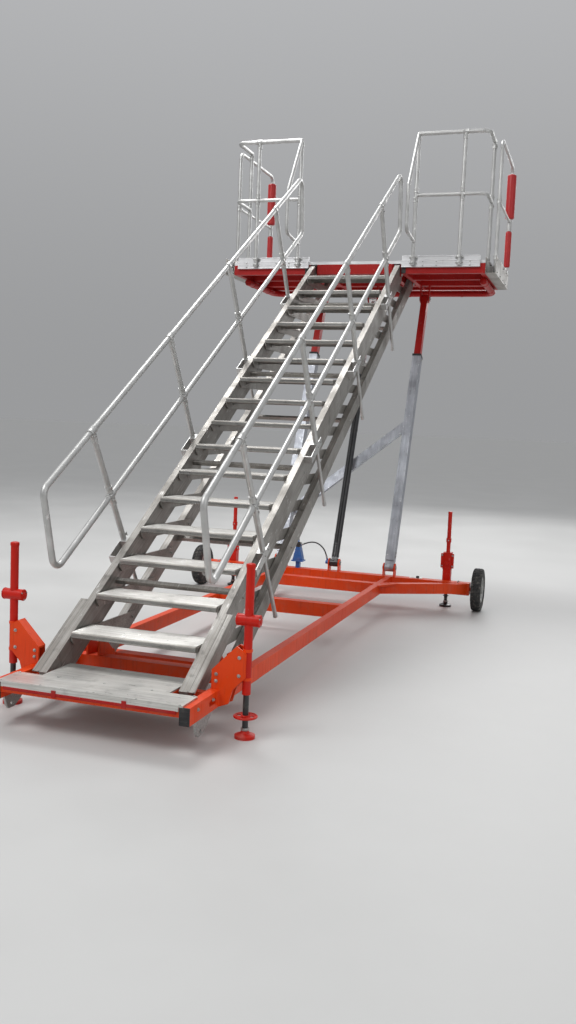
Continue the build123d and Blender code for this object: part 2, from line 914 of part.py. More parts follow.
# Fixed guards: rails and posts round each front corner, and a loop beside the stair's head
guard_y = deck_y - toe_thick - post_radius
side_y = deck_y + side_post_back
for name, sign in (("left", -1), ("right", 1)):
    with BuildPart() as guard:
        for rise, radius in ((guard_height, tube_radius), (guard_mid, loop_radius)):
            bent_tube(
                [
                    (sign * inner_post_x, guard_y, deck_z + rise),
                    (sign * guard_x, guard_y, deck_z + rise),
                    (sign * guard_x, side_y, deck_z + rise),
                ],
                bend,
                radius,
            )
        for post_x in (inner_post_x, middle_post_x):
            bar(
                (sign * post_x, guard_y, deck_z - guard_post_below),
                (sign * post_x, guard_y, deck_z + guard_height),
                post_radius,
            )
        bar((sign * guard_x, side_y, deck_z), (sign * guard_x, side_y, deck_z + guard_height), post_radius)
        bent_tube(
            [
                (sign * inner_post_x, guard_y, deck_z + guard_height),
                (sign * inner_post_x, deck_y - loop_reach, deck_z + guard_mid),
                (sign * inner_post_x, deck_y - loop_reach, deck_z + loop_knee),
                (sign * inner_post_x, guard_y, deck_z + loop_low),
            ],
            bend,
            loop_radius,
        )
    save(guard, f"guard_{name}")

# Sliding guards stand in the guides and reach back to the hull, with two padded ends
shoe_z = guide_low + guide_wall + running_gap + slide_bar_radius
end_y = deck_y + slide_reach
for name, sign in (("left", -1), ("right", 1)):
    with BuildPart() as slide:
        def on_slide(back, z):
            return sign * slide_x, deck_y + back, z

        bent_tube(
            [
                on_slide(slide_front, shoe_z),
                on_slide(slide_front, deck_z + slide_top),
                on_slide(slide_reach, deck_z + slide_top),
                on_slide(slide_reach, deck_z + slide_low),
                on_slide(slide_back_post, deck_z + slide_low),
            ],
            bend,
            slide_radius,
        )
        for back, far, rise, radius in (
            (slide_front, slide_reach, slide_mid, slide_bar_radius),
            (slide_front, slide_back_post, slide_low, slide_post_radius),
        ):
            bar(on_slide(back, deck_z + rise), on_slide(far, deck_z + rise), radius)
        bar(
            on_slide(slide_back_post, shoe_z),
            on_slide(slide_back_post, deck_z + slide_low),
            slide_post_radius,
        )
        bar(
            on_slide(slide_front - tube_radius, shoe_z),
            on_slide(slide_back_post + tube_radius, shoe_z),
            slide_bar_radius,
        )
        bar(
            on_slide(slide_reach, deck_z + pad_low + pad_height),
            on_slide(slide_reach, deck_z + sleeve_low),
            collar_radius,
        )
    save(slide, f"slide_guard_{name}")

    with BuildPart() as sleeve:
        for low, height, radius in (
            (sleeve_low, sleeve_height, sleeve_radius),
            (pad_low, pad_height, pad_radius),
        ):
            with BuildSketch(Plane.XY.offset(deck_z + low)) as ring:
                with Locations((sign * slide_x, end_y)):
                    Circle(radius)
                    Circle(slide_radius + running_gap, mode=Mode.SUBTRACT)
            extrude(ring.sketch, amount=height)
    save(sleeve, f"pad_sleeve_{name}")

# Bumper tube under the deck's rear edge, turned forward along its sides
bumper_x = platform_half - bumper_inset
bumper_y = platform_rear + bumper_reach - bumper_radius
bumper_z = frame_low - bumper_radius - running_gap
with BuildPart() as bumper:
    bent_tube(
        [
            (-bumper_x, deck_y + bumper_front, bumper_z),
            (-bumper_x, bumper_y, bumper_z),
            (bumper_x, bumper_y, bumper_z),
            (bumper_x, deck_y + bumper_front, bumper_z),
        ],
        bumper_bend,
        bumper_radius,
    )
save(bumper, "bumper")

# Telescopic legs: aluminium outer boxes hinged on the beam, red inner tubes up to the platform
lean = atan2(hanger_z - leg_foot_height, hanger_y - beam_y)
leg_run = hypot(hanger_z - leg_foot_height, hanger_y - beam_y)
leg_dir = (0, cos(lean), sin(lean))
leg_side = (0, -sin(lean), cos(lean))


def on_leg(distance, offset=0, x=0):
    """Point on the legs' plane, distance up it and offset towards the stair."""
    y = beam_y + distance * cos(lean) - offset * sin(lean)
    z = leg_foot_height + distance * sin(lean) + offset * cos(lean)
    return x, y, z


leg_foot = (beam_y, leg_foot_height)
leg_head = (hanger_y, hanger_z)
with BuildPart() as leg_outers:
    for sign in (-1, 1):
        near = leg_x - leg_outer_width / 2
        far = leg_x + leg_outer_width / 2
        origin = on_leg(leg_heel, 0, sign * leg_x)
        with BuildSketch(Plane(origin=origin, x_dir=(1, 0, 0), z_dir=leg_dir)) as box:
            Rectangle(leg_outer_width, leg_outer_depth)
            Rectangle(
                leg_inner_width + 2 * leg_slide_gap,
                leg_inner_depth + 2 * leg_slide_gap,
                mode=Mode.SUBTRACT,
            )
        extrude(box.sketch, amount=leg_outer_length - leg_heel)
        cross_bar(sign, near, far, leg_foot, lift_ear_radius)
        cross_bar(sign, near - ear_gap + running_gap, far + ear_gap - running_gap, leg_foot, washer_radius)
        with BuildSketch(Plane(origin=on_leg(0, 0, sign * leg_x), x_dir=(1, 0, 0), z_dir=leg_dir)) as heel:
            Rectangle(leg_outer_width, 2 * lift_ear_radius)
        extrude(heel.sketch, amount=leg_heel)
    brace_offset = -(leg_outer_depth + brace_thick) / 2
    brace_x = leg_x
    brace_from = Vector(*on_leg(brace_start, brace_offset, -brace_x))
    brace_run = Vector(*on_leg(brace_end, brace_offset, brace_x)) - brace_from
    with BuildSketch(Plane(origin=brace_from, x_dir=leg_side, z_dir=brace_run)) as brace:
        Rectangle(brace_thick, brace_depth)
    extrude(brace.sketch, amount=brace_run.length)
save(leg_outers, "leg_outers")

with BuildPart() as leg_inners:
    for sign in (-1, 1):
        near = leg_x - leg_inner_width / 2
        far = leg_x + leg_inner_width / 2
        origin = on_leg(leg_inner_start, 0, sign * leg_x)
        with BuildSketch(Plane(origin=origin, x_dir=(1, 0, 0), z_dir=leg_dir)) as inner:
            Rectangle(leg_inner_width, leg_inner_depth)
        extrude(inner.sketch, amount=leg_run - leg_inner_start)
        cross_bar(sign, near, far, leg_head, leg_inner_depth / 2)
        cross_bar(sign, near - ear_gap + running_gap, far + ear_gap - running_gap, leg_head, washer_radius)
save(leg_inners, "leg_inners")

# Lift cylinder between the same two pivot lines
washer_half = barrel_half + ear_gap - running_gap
neck_width = 57
neck_depth = 60
with BuildPart() as lift_barrel:
    with BuildSketch(Plane(origin=on_leg(barrel_heel), x_dir=(1, 0, 0), z_dir=leg_dir)) as wall:
        Circle(barrel_radius)
    extrude(wall.sketch, amount=barrel_length - barrel_heel)
    with BuildSketch(Plane(origin=on_leg(barrel_length), x_dir=(1, 0, 0), z_dir=leg_dir)) as bore:
        Circle(rod_radius + rod_gap)
    extrude(bore.sketch, amount=-(barrel_length - barrel_wall_end), mode=Mode.SUBTRACT)
    cross_bar(1, -barrel_half, barrel_half, leg_foot, lift_ear_radius)
    cross_bar(1, -washer_half, washer_half, leg_foot, washer_radius)
    with BuildSketch(Plane(origin=on_leg(0), x_dir=(1, 0, 0), z_dir=leg_dir)) as neck:
        Rectangle(neck_width, neck_depth)
    extrude(neck.sketch, amount=barrel_heel)
save(lift_barrel, "lift_barrel")

with BuildPart() as lift_rod:
    with BuildSketch(Plane(origin=on_leg(rod_start), x_dir=(1, 0, 0), z_dir=leg_dir)) as rod:
        Circle(rod_radius)
    extrude(rod.sketch, amount=leg_run - rod_start)
    cross_bar(1, -barrel_half, barrel_half, leg_head, lift_ear_radius)
    cross_bar(1, -washer_half, washer_half, leg_head, washer_radius)
save(lift_rod, "lift_rod")

# Hand pump: a tapering tank with a black head on a raised foot plate, and the swivel at the
# cylinder's foot pin that its hose feeds
pump_x = -398
pump_seat = 345
pump_plate = 12
pump_plate_half = 64
pump_foot = 54
pump_crown = 20
pump_shoulder = 500
pump_head = 540
pump_depth = 80
pump_post_half = 22
port_radius = 10
swivel_radius = 18
swivel_length = 36
hose_radius = 7

# The hose's route from the pump's head over to the swivel, as (x, z) points above the beam
hose_route = [
    (-368, 520),
    (-298, 553),
    (-213, 561),
    (-143, 523),
    (-99, 462),
    (-82, 400),
]
lever_foot = (pump_x, beam_y, 524)
lever_tip = (pump_x - 50, beam_y + 120, 575)
hose_points = [Vector(x, beam_y, z) for x, z in hose_route]
hose_runs = [after - before for before, after in zip(hose_points, hose_points[1:])]
hose_radii = []
for before, after in zip(hose_runs, hose_runs[1:]):
    half_turn = radians(before.get_angle(after)) / 2
    hose_radii.append(0.45 * min(before.length, after.length) / tan(half_turn))
print("hose bend radii", [round(radius) for radius in hose_radii])

with BuildPart() as pump:
    block(
        (pump_x - pump_post_half, beam_y - pump_post_half, beam_top),
        (pump_x + pump_post_half, beam_y + pump_post_half, pump_seat),
    )
    block(
        (pump_x - pump_plate_half, beam_y - beam_depth / 2, pump_seat),
        (pump_x + pump_plate_half, beam_y + beam_depth / 2, pump_seat + pump_plate),
    )
    front_plate(
        (
            (pump_x - pump_foot, pump_seat + pump_plate),
            (pump_x + pump_foot, pump_seat + pump_plate),
            (pump_x + pump_crown, pump_shoulder),
            (pump_x + pump_crown, pump_head),
            (pump_x - pump_crown, pump_head),
            (pump_x - pump_crown, pump_shoulder),
        ),
        beam_y - pump_depth / 2,
        beam_y + pump_depth / 2,
    )
    bar(lever_foot, lever_tip, port_radius)
    exit_start = hose_points[0] - hose_runs[0].normalized() * pump_crown
    bar(tuple(exit_start), tuple(hose_points[0]), port_radius)
    clevis_side = barrel_half + ear_gap + ear_plate
    cross_bar(-1, clevis_side, clevis_side + swivel_length, (beam_y, leg_foot_height), swivel_radius)
    entry_start = hose_points[-1] + hose_runs[-1].normalized() * 2 * swivel_radius
    bar(tuple(entry_start), tuple(hose_points[-1]), port_radius)
save(pump, "pump")

with BuildPart() as pump_hose:
    with BuildLine() as hose_line:
        FilletPolyline(*hose_points, radius=hose_radii)
    with BuildSketch(Plane(origin=hose_points[0], z_dir=hose_runs[0])) as hose_end:
        Circle(hose_radius)
    sweep(hose_end.sketch, path=hose_line.line)
save(pump_hose, "pump_hose")

print("pivot lines", leg_foot, leg_head, "lean", lean, "run", leg_run)
print("stair", stair_y, "deck", deck_y, deck_z)
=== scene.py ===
import json
from math import atan2, cos, hypot, pi, radians, sin

import bmesh
import bpy
import numpy as np
from mathutils import Matrix, Vector


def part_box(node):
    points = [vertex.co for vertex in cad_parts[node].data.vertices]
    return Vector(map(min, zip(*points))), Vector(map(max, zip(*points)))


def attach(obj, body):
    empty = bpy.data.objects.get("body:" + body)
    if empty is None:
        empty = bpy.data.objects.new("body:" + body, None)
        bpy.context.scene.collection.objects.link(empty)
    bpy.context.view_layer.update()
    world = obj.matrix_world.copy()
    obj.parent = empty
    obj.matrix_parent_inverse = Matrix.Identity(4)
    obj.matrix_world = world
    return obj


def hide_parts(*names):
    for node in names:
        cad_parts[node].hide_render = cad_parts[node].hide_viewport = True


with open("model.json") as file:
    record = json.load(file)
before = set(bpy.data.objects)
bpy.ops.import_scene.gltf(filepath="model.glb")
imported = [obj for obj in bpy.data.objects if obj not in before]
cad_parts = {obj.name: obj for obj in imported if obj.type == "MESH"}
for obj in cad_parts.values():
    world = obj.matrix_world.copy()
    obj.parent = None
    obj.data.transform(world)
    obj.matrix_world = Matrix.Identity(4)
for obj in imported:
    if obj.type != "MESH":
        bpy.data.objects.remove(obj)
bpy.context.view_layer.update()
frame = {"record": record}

# Camera: where the photograph was taken from, in metres and radians
view = {
    "place": (2.632, -7.9285, 1.816),
    "yaw": -0.317,
    "pitch": -0.094,
    "roll": 0.042,
    "focalPixels": 960,
    "imageHeight": 1024,
}


def makeCamera(spec):
    yaw, pitch, roll = spec["yaw"], spec["pitch"], spec["roll"]
    forward = Vector((sin(yaw) * cos(pitch), cos(yaw) * cos(pitch), sin(pitch)))
    level = Vector((cos(yaw), -sin(yaw), 0.0))
    across = cos(roll) * level + sin(roll) * level.cross(forward)
    upward = across.cross(forward)
    data = bpy.data.cameras.new("view")
    data.sensor_width = 36.0
    data.lens = spec["focalPixels"] / spec["imageHeight"] * data.sensor_width
    data.clip_end = 200.0
    camera = bpy.data.objects.new("view", data)
    turn = Matrix((across, upward, -forward)).transposed().to_4x4()
    camera.matrix_world = Matrix.Translation(spec["place"]) @ turn
    bpy.context.scene.collection.objects.link(camera)
    bpy.context.scene.camera = camera


makeCamera(view)
print("camera done")

# Places read from the frame, in metres; the CAD model's own sizes are repeated where a box can't give them
firstTread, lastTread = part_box("tread_01"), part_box("tread_16")
going = (lastTread[0].y - firstTread[0].y) / 15
riser = (lastTread[1].z - firstTread[1].z) / 15
stairY = firstTread[0].y - going
baseTop = firstTread[1].z - riser
slope = atan2(riser, going)
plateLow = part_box("base_plate")[0]
deckLow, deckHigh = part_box("deck")
deckY, deckZ, deckBack, platformHalf = deckLow.y, deckHigh.z, deckHigh.y, deckHigh.x
wheelX, beamY, axleZ = sum(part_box("tyre_right"), Vector()) / 2
pivotBack, pivotDrop, linkBack = 0.165, 0.05, 0.64
flangeLift = 0.195 / 2 - pivotDrop * cos(slope) - pivotBack * sin(slope)  # top of the stringers
topStep = 17 - (pivotBack - 0.034) / going  # where the platform's pins are, counted in steps
jackX, jackY = 0.775, stairY + 0.22
legFoot = Vector((0.0, beamY, 0.36))
legHead = Vector((0.0, deckY + 0.9, deckZ - 0.27))
lean = atan2(legHead.z - legFoot.z, legHead.y - legFoot.y)
bothSides = (-1, 1)
signs = (("left", -1), ("right", 1))
alongX, alongY, alongZ, toFront = (1, 0, 0), (0, 1, 0), (0, 0, 1), (0, -1, 0)
flightUp, flightAlong = np.array((0.0, -sin(slope), cos(slope))), np.array((0.0, cos(slope), sin(slope)))
legUp, legAhead = np.array((0.0, -sin(lean), cos(lean))), np.array((0.0, cos(lean), sin(lean)))
print("stair", round(stairY, 4), "base", round(baseTop, 4), "going", round(going, 4), "riser", round(riser, 4))


# The pin of a step's arm on the stringer, as (y, z), and the one behind it on the link tube
def pivot(step):
    return stairY + step * going + pivotBack, baseTop + step * riser - pivotDrop


def linkPivot(step):
    y, z = pivot(step)
    return y + linkBack, z


# A point of the stair's side view: so far up the flight from the base plate, and so far off the nosing line
def onFlight(run, lift):
    return stairY + run * cos(slope) - lift * sin(slope), baseTop + run * sin(slope) + lift * cos(slope)


# A point of a leg: so far up from its foot pin, off its middle line, and across
def onLeg(distance, offset=0.0, x=0.0):
    y = beamY + distance * cos(lean) - offset * sin(lean)
    return x, y, legFoot.z + distance * sin(lean) + offset * cos(lean)


# A number or vector that runs through a material's nodes; the operators add Math nodes
class Value:
    def __init__(self, paint, socket):
        self.paint, self.socket = paint, socket

    def maths(self, operation, *others):
        numbers = {str(index): value for index, value in enumerate((self, *others))}
        return self.paint.node("ShaderNodeMath", {"operation": operation}, numbers)

    def __add__(self, other):
        return self.maths("ADD", other)

    def __mul__(self, other):
        return self.maths("MULTIPLY", other)

    def __sub__(self, other):
        return self.maths("SUBTRACT", other)

    def __rsub__(self, other):
        return self.maths("MULTIPLY_ADD", -1.0, other)

    __radd__ = __add__
    __rmul__ = __mul__

    def rise(self, low, high):
        spans = {"Value": self, "From Min": low, "From Max": high}
        return self.paint.node("ShaderNodeMapRange", {"interpolation_type": "SMOOTHSTEP"}, spans)


# One material: its nodes all come from node(), and its patterns read Object coordinates in metres
class Paint:
    def __init__(self, name, roughness, metallic=0.0, coat=0.0, shine=0.5):
        self.material = bpy.data.materials.new(name)
        self.material.use_nodes = True
        self.tree = self.material.node_tree
        self.shader = self.tree.nodes["Principled BSDF"]
        fixed = {
            "Roughness": roughness, "Metallic": metallic, "Coat Weight": coat, "Coat Roughness": 0.12,
            "Specular IOR Level": shine,
        }
        for key, value in fixed.items():
            self.shader.inputs[key].default_value = value
        self.place = self.node("ShaderNodeTexCoord", {}, {}, "Object")
        self.height = self.node("ShaderNodeSeparateXYZ", {}, {"Vector": self.place}, "Z")

    def node(self, kind, settings, sockets, output=None):
        made = self.tree.nodes.new(kind)
        for key, value in settings.items():
            setattr(made, key, value)
        for key, value in sockets.items():
            entry = made.inputs[int(key)] if key.isdigit() else self.pick(made.inputs, key)
            if isinstance(value, Value):
                self.tree.links.new(value.socket, entry)
            else:
                entry.default_value = value
        return Value(self, self.pick(made.outputs, output) if output else made.outputs[0])

    def pick(self, sockets, key):
        exact = [socket for socket in sockets if socket.identifier == key]
        return (exact or [socket for socket in sockets if socket.name == key])[0]

    # Object coordinates, turned about X by an angle and stretched along each axis
    def laid(self, stretch, turn):
        turned = {"Vector": self.place, "Rotation": (turn, 0.0, 0.0), "Scale": (1.0, 1.0, 1.0)}
        flat = self.node("ShaderNodeMapping", {}, turned) if turn else self.place
        return self.node("ShaderNodeVectorMath", {"operation": "MULTIPLY"}, {"0": flat, "1": stretch})

    def noise(self, scale, detail=3.0, stretch=(1.0, 1.0, 1.0), turn=0.0):
        sockets = {"Vector": self.laid(stretch, turn), "Scale": scale, "Detail": detail}
        return self.node("ShaderNodeTexNoise", {}, sockets, "Fac")

    def cells(self, scale):
        return self.node("ShaderNodeTexVoronoi", {}, {"Vector": self.place, "Scale": scale}, "Distance")

    def mix(self, share, first, second):
        colours = [value if isinstance(value, Value) else (*value, 1.0) for value in (first, second)]
        sockets = {"Factor_Float": share, "A_Color": colours[0], "B_Color": colours[1]}
        return self.node("ShaderNodeMix", {"data_type": "RGBA"}, sockets, "Result_Color")

    def put(self, **sockets):
        for name, value in sockets.items():
            self.tree.links.new(value.socket, self.shader.inputs[name.replace("_", " ")])

    def bump(self, height, distance, strength):
        sockets = {"Height": height, "Distance": distance, "Strength": strength}
        self.put(Normal=self.node("ShaderNodeBump", {}, sockets))
        return self.material


# Gloss paint: faded clouds, floor dust that thins with height, short scuffs and orange peel
def glossPaint(name, spec):
    paint = Paint(name, spec["roughness"], 0.0, spec["coat"], 0.25)
    cloud = paint.noise(spec["cloudScale"], 4.0).rise(0.35, 0.68)
    runs = paint.noise(9.0, 4.0, (6.0, 6.0, 0.5)).rise(0.52, 0.72)
    dust = paint.noise(14.0, 5.0).rise(0.42, 0.7) * (1 - paint.height.rise(0.02, 0.40)) * 0.22
    scuffs = paint.noise(60.0, 3.0, (1.0, 0.2, 0.5)).rise(0.66, 0.72)
    colour = paint.mix(cloud * spec["fading"], spec["colour"], spec["faded"])
    colour = paint.mix(runs * spec["runs"], colour, spec["dirt"])
    colour = paint.mix(scuffs * 0.55, colour, spec["scuff"])
    colour = paint.mix(dust, colour, (0.30, 0.25, 0.21))
    rough = spec["roughness"] + cloud * 0.06 + runs * 0.08 + scuffs * 0.25 + dust * 0.4
    paint.put(Base_Color=colour, Roughness=rough)
    return paint.bump(paint.noise(320.0, 2.0) - scuffs * 0.4, 0.0006, 0.35)


# Bare metal: grain drawn out along the piece, dull blotches, dark handling marks and fine scratches
def bareMetal(name, spec):
    paint = Paint(name, spec["roughness"], spec["metallic"])
    turn = spec.get("turn", 0.0)
    grain = paint.noise(spec["grainScale"], 4.0, spec["grain"], turn)
    blotch = paint.noise(spec["blotchScale"], 5.0).rise(0.38, 0.66)
    marks = paint.noise(spec["blotchScale"] * 3.1, 4.0, (1.0, 1.0, 0.45)).rise(0.56, 0.74)
    scratch = paint.noise(46.0, 2.0, spec["scratch"], turn).rise(0.67, 0.71)
    colour = paint.mix(grain.rise(0.3, 0.72), spec["dark"], spec["colour"])
    colour = paint.mix(blotch * spec["blotch"], colour, spec["dull"])
    colour = paint.mix(marks * spec["marks"], colour, (0.10, 0.095, 0.09))
    colour = paint.mix(scratch * 0.4, colour, (0.86, 0.86, 0.85))
    rough = spec["roughness"] + grain * 0.12 + blotch * 0.12 - scratch * 0.15
    paint.put(Base_Color=colour, Roughness=rough)
    return paint.bump(grain + blotch * 0.3 - scratch * 0.5, 0.0004, spec["relief"])


# Galvanised or zinc steel: spangled crystals, with brown stain gathering in patches
def zincSteel(name, spec):
    paint = Paint(name, spec["roughness"], 0.85)
    crystals = paint.cells(spec["crystalScale"])
    stain = paint.noise(11.0, 5.0).rise(0.55, 0.75) * spec["stain"]
    colour = paint.mix(crystals.rise(0.1, 0.8), spec["light"], spec["dark"])
    colour = paint.mix(stain, colour, (0.17, 0.09, 0.05))
    paint.put(Base_Color=colour, Roughness=spec["roughness"] + crystals * 0.2 + stain * 0.3)
    return paint.bump(crystals + paint.noise(180.0), 0.0004, 0.12)


# Rubber, plastic and vinyl: a pebbled grain, worn lighter in clouds, with pale dust
def mouldedSkin(name, spec):
    paint = Paint(name, spec["roughness"], 0.0, spec["coat"])
    wear = paint.noise(spec["wearScale"], 5.0).rise(0.42, 0.7)
    dust = paint.noise(23.0, 4.0).rise(0.5, 0.75) * (1 - paint.height.rise(0.05, 0.9) * 0.8)
    pebbles = paint.cells(spec["pebbleScale"])
    colour = paint.mix(wear * spec["wear"], spec["colour"], spec["worn"])
    colour = paint.mix(dust * spec["dust"], colour, (0.27, 0.25, 0.22))
    paint.put(Base_Color=colour, Roughness=spec["roughness"] + wear * 0.1 + dust * 0.15)
    return paint.bump(pebbles + paint.noise(90.0) * 0.5, 0.0005, spec["relief"])


orange = {
    "colour": (0.82, 0.066, 0.004), "faded": (0.70, 0.050, 0.006), "fading": 0.7, "cloudScale": 2.2,
    "dirt": (0.30, 0.026, 0.006), "runs": 0.20, "scuff": (0.62, 0.14, 0.04), "roughness": 0.42, "coat": 0.08,
}
# Red paint: a red darker than the jacks', with the shade under the platform painted into its colour
red = dict(
    orange, colour=(0.42, 0.008, 0.006), faded=(0.34, 0.010, 0.009), dirt=(0.13, 0.005, 0.005),
    scuff=(0.50, 0.12, 0.10),
)
jackRed = dict(red, colour=(0.60, 0.012, 0.003), faded=(0.48, 0.010, 0.003), roughness=0.40)
treadMetal = {
    "colour": (0.78, 0.77, 0.74), "dark": (0.54, 0.53, 0.50), "dull": (0.46, 0.44, 0.41), "blotch": 0.4,
    "marks": 0.28, "roughness": 0.32, "metallic": 0.85, "grainScale": 1.0, "grain": (3.0, 130.0, 130.0),
    "scratch": (0.25, 1.0, 1.0), "blotchScale": 4.5, "relief": 0.4,
}
stringerMetal = dict(
    treadMetal, colour=(0.44, 0.425, 0.40), dark=(0.28, 0.265, 0.245), dull=(0.22, 0.205, 0.185), blotch=0.5,
    marks=0.5, roughness=0.38, metallic=0.75, grain=(150.0, 2.5, 150.0), turn=-slope, scratch=(1.0, 0.2, 1.0),
)
# Tread bodies: a darker copy of the tread metal, with the shade under the tread tops painted into its colour
shadedTreadBody = dict(
    treadMetal, colour=(0.46, 0.44, 0.41), dark=(0.29, 0.275, 0.255), dull=(0.22, 0.205, 0.185), blotch=0.5,
    marks=0.4, roughness=0.36, metallic=0.78,
)
tubeMetal = dict(
    treadMetal, colour=(0.62, 0.62, 0.61), dark=(0.52, 0.52, 0.51), dull=(0.44, 0.44, 0.43), blotch=0.35,
    marks=0.10, roughness=0.33, grain=(12.0, 12.0, 12.0), scratch=(1.0, 1.0, 0.3), blotchScale=7.0, metallic=0.8,
    relief=0.10,
)
legMetal = dict(
    tubeMetal, colour=(0.50, 0.52, 0.56), dark=(0.36, 0.38, 0.42), dull=(0.30, 0.31, 0.34), marks=0.35,
    grain=(60.0, 4.0, 4.0), turn=-lean, metallic=0.7,
)
deckMetal = dict(
    treadMetal, colour=(0.78, 0.78, 0.79), dark=(0.66, 0.66, 0.67), dull=(0.58, 0.58, 0.58), blotch=0.3,
    marks=0.12, metallic=0.7, roughness=0.36, grain=(2.0, 110.0, 110.0),
)
zinc = {
    "light": (0.52, 0.52, 0.50), "dark": (0.40, 0.40, 0.39), "crystalScale": 90.0, "stain": 0.5, "roughness": 0.40,
}
chrome = {
    "light": (0.80, 0.80, 0.81), "dark": (0.74, 0.74, 0.75), "crystalScale": 8.0, "stain": 0.0, "roughness": 0.06,
}
skinKeys = ("colour", "worn", "wear", "dust", "wearScale", "pebbleScale", "roughness", "coat", "relief")
skinRows = {
    "black_rubber": ((0.018, 0.018, 0.019), (0.06, 0.058, 0.056), 0.6, 0.3, 8.0, 260.0, 0.62, 0.0, 0.35),
    "tyre": ((0.020, 0.020, 0.021), (0.07, 0.066, 0.062), 0.75, 0.6, 12.0, 190.0, 0.74, 0.0, 0.5),
    "black_paint": ((0.014, 0.014, 0.016), (0.05, 0.05, 0.052), 0.4, 0.25, 6.0, 420.0, 0.30, 0.3, 0.12),
    "blue_paint": ((0.012, 0.12, 0.42), (0.05, 0.20, 0.50), 0.5, 0.3, 9.0, 380.0, 0.34, 0.25, 0.15),
    "red_pad": ((0.42, 0.008, 0.010), (0.50, 0.030, 0.022), 0.5, 0.06, 10.0, 300.0, 0.42, 0.1, 0.6),
}
skins = {name: dict(zip(skinKeys, row)) for name, row in skinRows.items()}
metals = {
    "tread_aluminium": treadMetal, "tread_body_painted_shade": shadedTreadBody, "stringer_aluminium": stringerMetal,
    "tube_aluminium": tubeMetal, "deck_aluminium": deckMetal, "leg_aluminium": legMetal,
}
recipes = (
    (glossPaint, {"orange_paint": orange, "red_paint": red, "jack_red": jackRed}), (bareMetal, metals),
    (zincSteel, {"steel": zinc, "chrome": chrome}), (mouldedSkin, skins),
)
materials = {name: recipe(name, spec) for recipe, specs in recipes for name, spec in specs.items()}

# Nodes that are seen in another finish than their slot's own; the tread bodies and side guides get the darker
# tread-body metal, which paints the shade they lie in into their colour
paintChoice = {
    "front_jack_tubes": "jack_red", "rear_jack_tubes": "jack_red", "leg_outers": "leg_aluminium",
    # The side guides take the darker tread-body metal as painted shade
    "rear_jack_foot_left": "black_paint", "rear_jack_foot_right": "black_paint", "side_guides": "tread_body_painted_shade",
    "front_jack_foot_left": "jack_red", "front_jack_foot_right": "jack_red",
}
paintChoice.update({f"tread_{step:02d}": "tread_body_painted_shade" for step in range(1, 17)})
for row in frame["record"]["subparts"]:
    for materialSlot in bpy.data.objects.get(row["node"]).material_slots:
        materialSlot.material = materials[paintChoice.get(row["node"], row["material_slot"])]
print("materials done")


# Faces of a grid of points, rows by columns, as index arrays; either way may close on itself
def gridFaces(rows, columns, wrapRows=False):
    r, c = np.meshgrid(np.arange(rows if wrapRows else rows - 1), np.arange(columns), indexing="ij")
    rNext, cNext = (r + 1) % rows, (c + 1) % columns
    corners = (r * columns + c, r * columns + cNext, rNext * columns + cNext, rNext * columns + c)
    return np.stack(corners, axis=-1).reshape(-1, 4)


# Three coordinates, numbers or arrays that fit one another, as one array of points
def stacked(x, y, z):
    return np.stack(np.broadcast_arrays(x, y, z), axis=-1)


# A frame at a point: two directions square to the axis, then the axis itself, all unit length
def squareTo(axis):
    axis = np.asarray(axis, float) / np.linalg.norm(axis)
    hint = (0.0, 1.0, 0.0) if abs(axis[2]) > 0.99 else (0.0, 0.0, 1.0)
    first = np.cross(hint, axis)
    first /= np.linalg.norm(first)
    return np.stack((first, np.cross(axis, first), axis))


# Equal angles round a full turn
def turns(count):
    return np.arange(count) * 2 * pi / count


# A turned shape: radius r at height h runs round the axis, point = origin + r (cos u, sin u) + h axis.
# A closed profile gives a hoop with a hole through it
def turned(profile, origin=(0.0, 0.0, 0.0), axis=alongZ, count=24, closed=False):
    profile, angle = np.asarray(profile, float), turns(count)
    radius, height = profile[:, :1], profile[:, 1:]
    grid = stacked(radius * np.cos(angle), radius * np.sin(angle), height)
    points = grid.reshape(-1, 3) @ squareTo(axis) + np.asarray(origin, float)
    return points, [gridFaces(len(profile), count, closed)]


# A profile carried along a path: point = path + a side + b up, with flat ends; sizes may scale along it
def carried(profile, path, upward=alongZ, sizes=1.0, closedPath=False):
    profile, path = np.asarray(profile, float), np.asarray(path, float)
    ahead = np.roll(path, -1, 0) - path if closedPath else np.gradient(path, axis=0)
    ahead /= np.linalg.norm(ahead, axis=1, keepdims=True)
    side = np.cross(ahead, np.asarray(upward, float))
    side /= np.linalg.norm(side, axis=1, keepdims=True)
    up = np.cross(side, ahead)
    spread = profile * np.broadcast_to(sizes, len(path))[:, None, None]
    points = path[:, None] + spread[..., :1] * side[:, None] + spread[..., 1:] * up[:, None]
    faces = [gridFaces(len(path), len(profile), closedPath)]
    if not closedPath:
        first = np.arange(len(profile))[None]
        faces += [first, first[:, ::-1] + (len(path) - 1) * len(profile)]
    return points.reshape(-1, 3), faces


# A smooth line through points: a Catmull-Rom spline sampled evenly
def smoothLine(points, count):
    knots = np.asarray(points, float)
    knots = np.vstack((2 * knots[:1] - knots[1:2], knots, 2 * knots[-1:] - knots[-2:-1]))
    t = np.linspace(0, len(knots) - 3, count)
    index = np.minimum(t.astype(int), len(knots) - 4)
    f = (t - index)[:, None]
    a, b, c, d = (knots[index + k] for k in range(4))
    return 0.5 * (2 * b + (c - a) * f + (2 * a - 5 * b + 4 * c - d) * f**2 + (3 * b - a - 3 * c + d) * f**3)


# Sections: a box with rounded corners, and a ring
def rounded(width, height, corner, count=4):
    angle = np.linspace(0, pi / 2, count)
    arc = corner * np.stack((np.cos(angle), np.sin(angle)), axis=1)
    parts = []
    for c, s, right, up in ((1, 0, 1, 1), (0, 1, -1, 1), (-1, 0, -1, -1), (0, -1, 1, -1)):
        centre = (right * (width / 2 - corner), up * (height / 2 - corner))
        parts.append(arc @ np.array(((c, s), (-s, c))) + centre)
    return np.vstack(parts)


def ring(radius, count=16):
    return radius * np.stack((np.cos(turns(count)), np.sin(turns(count))), axis=1)


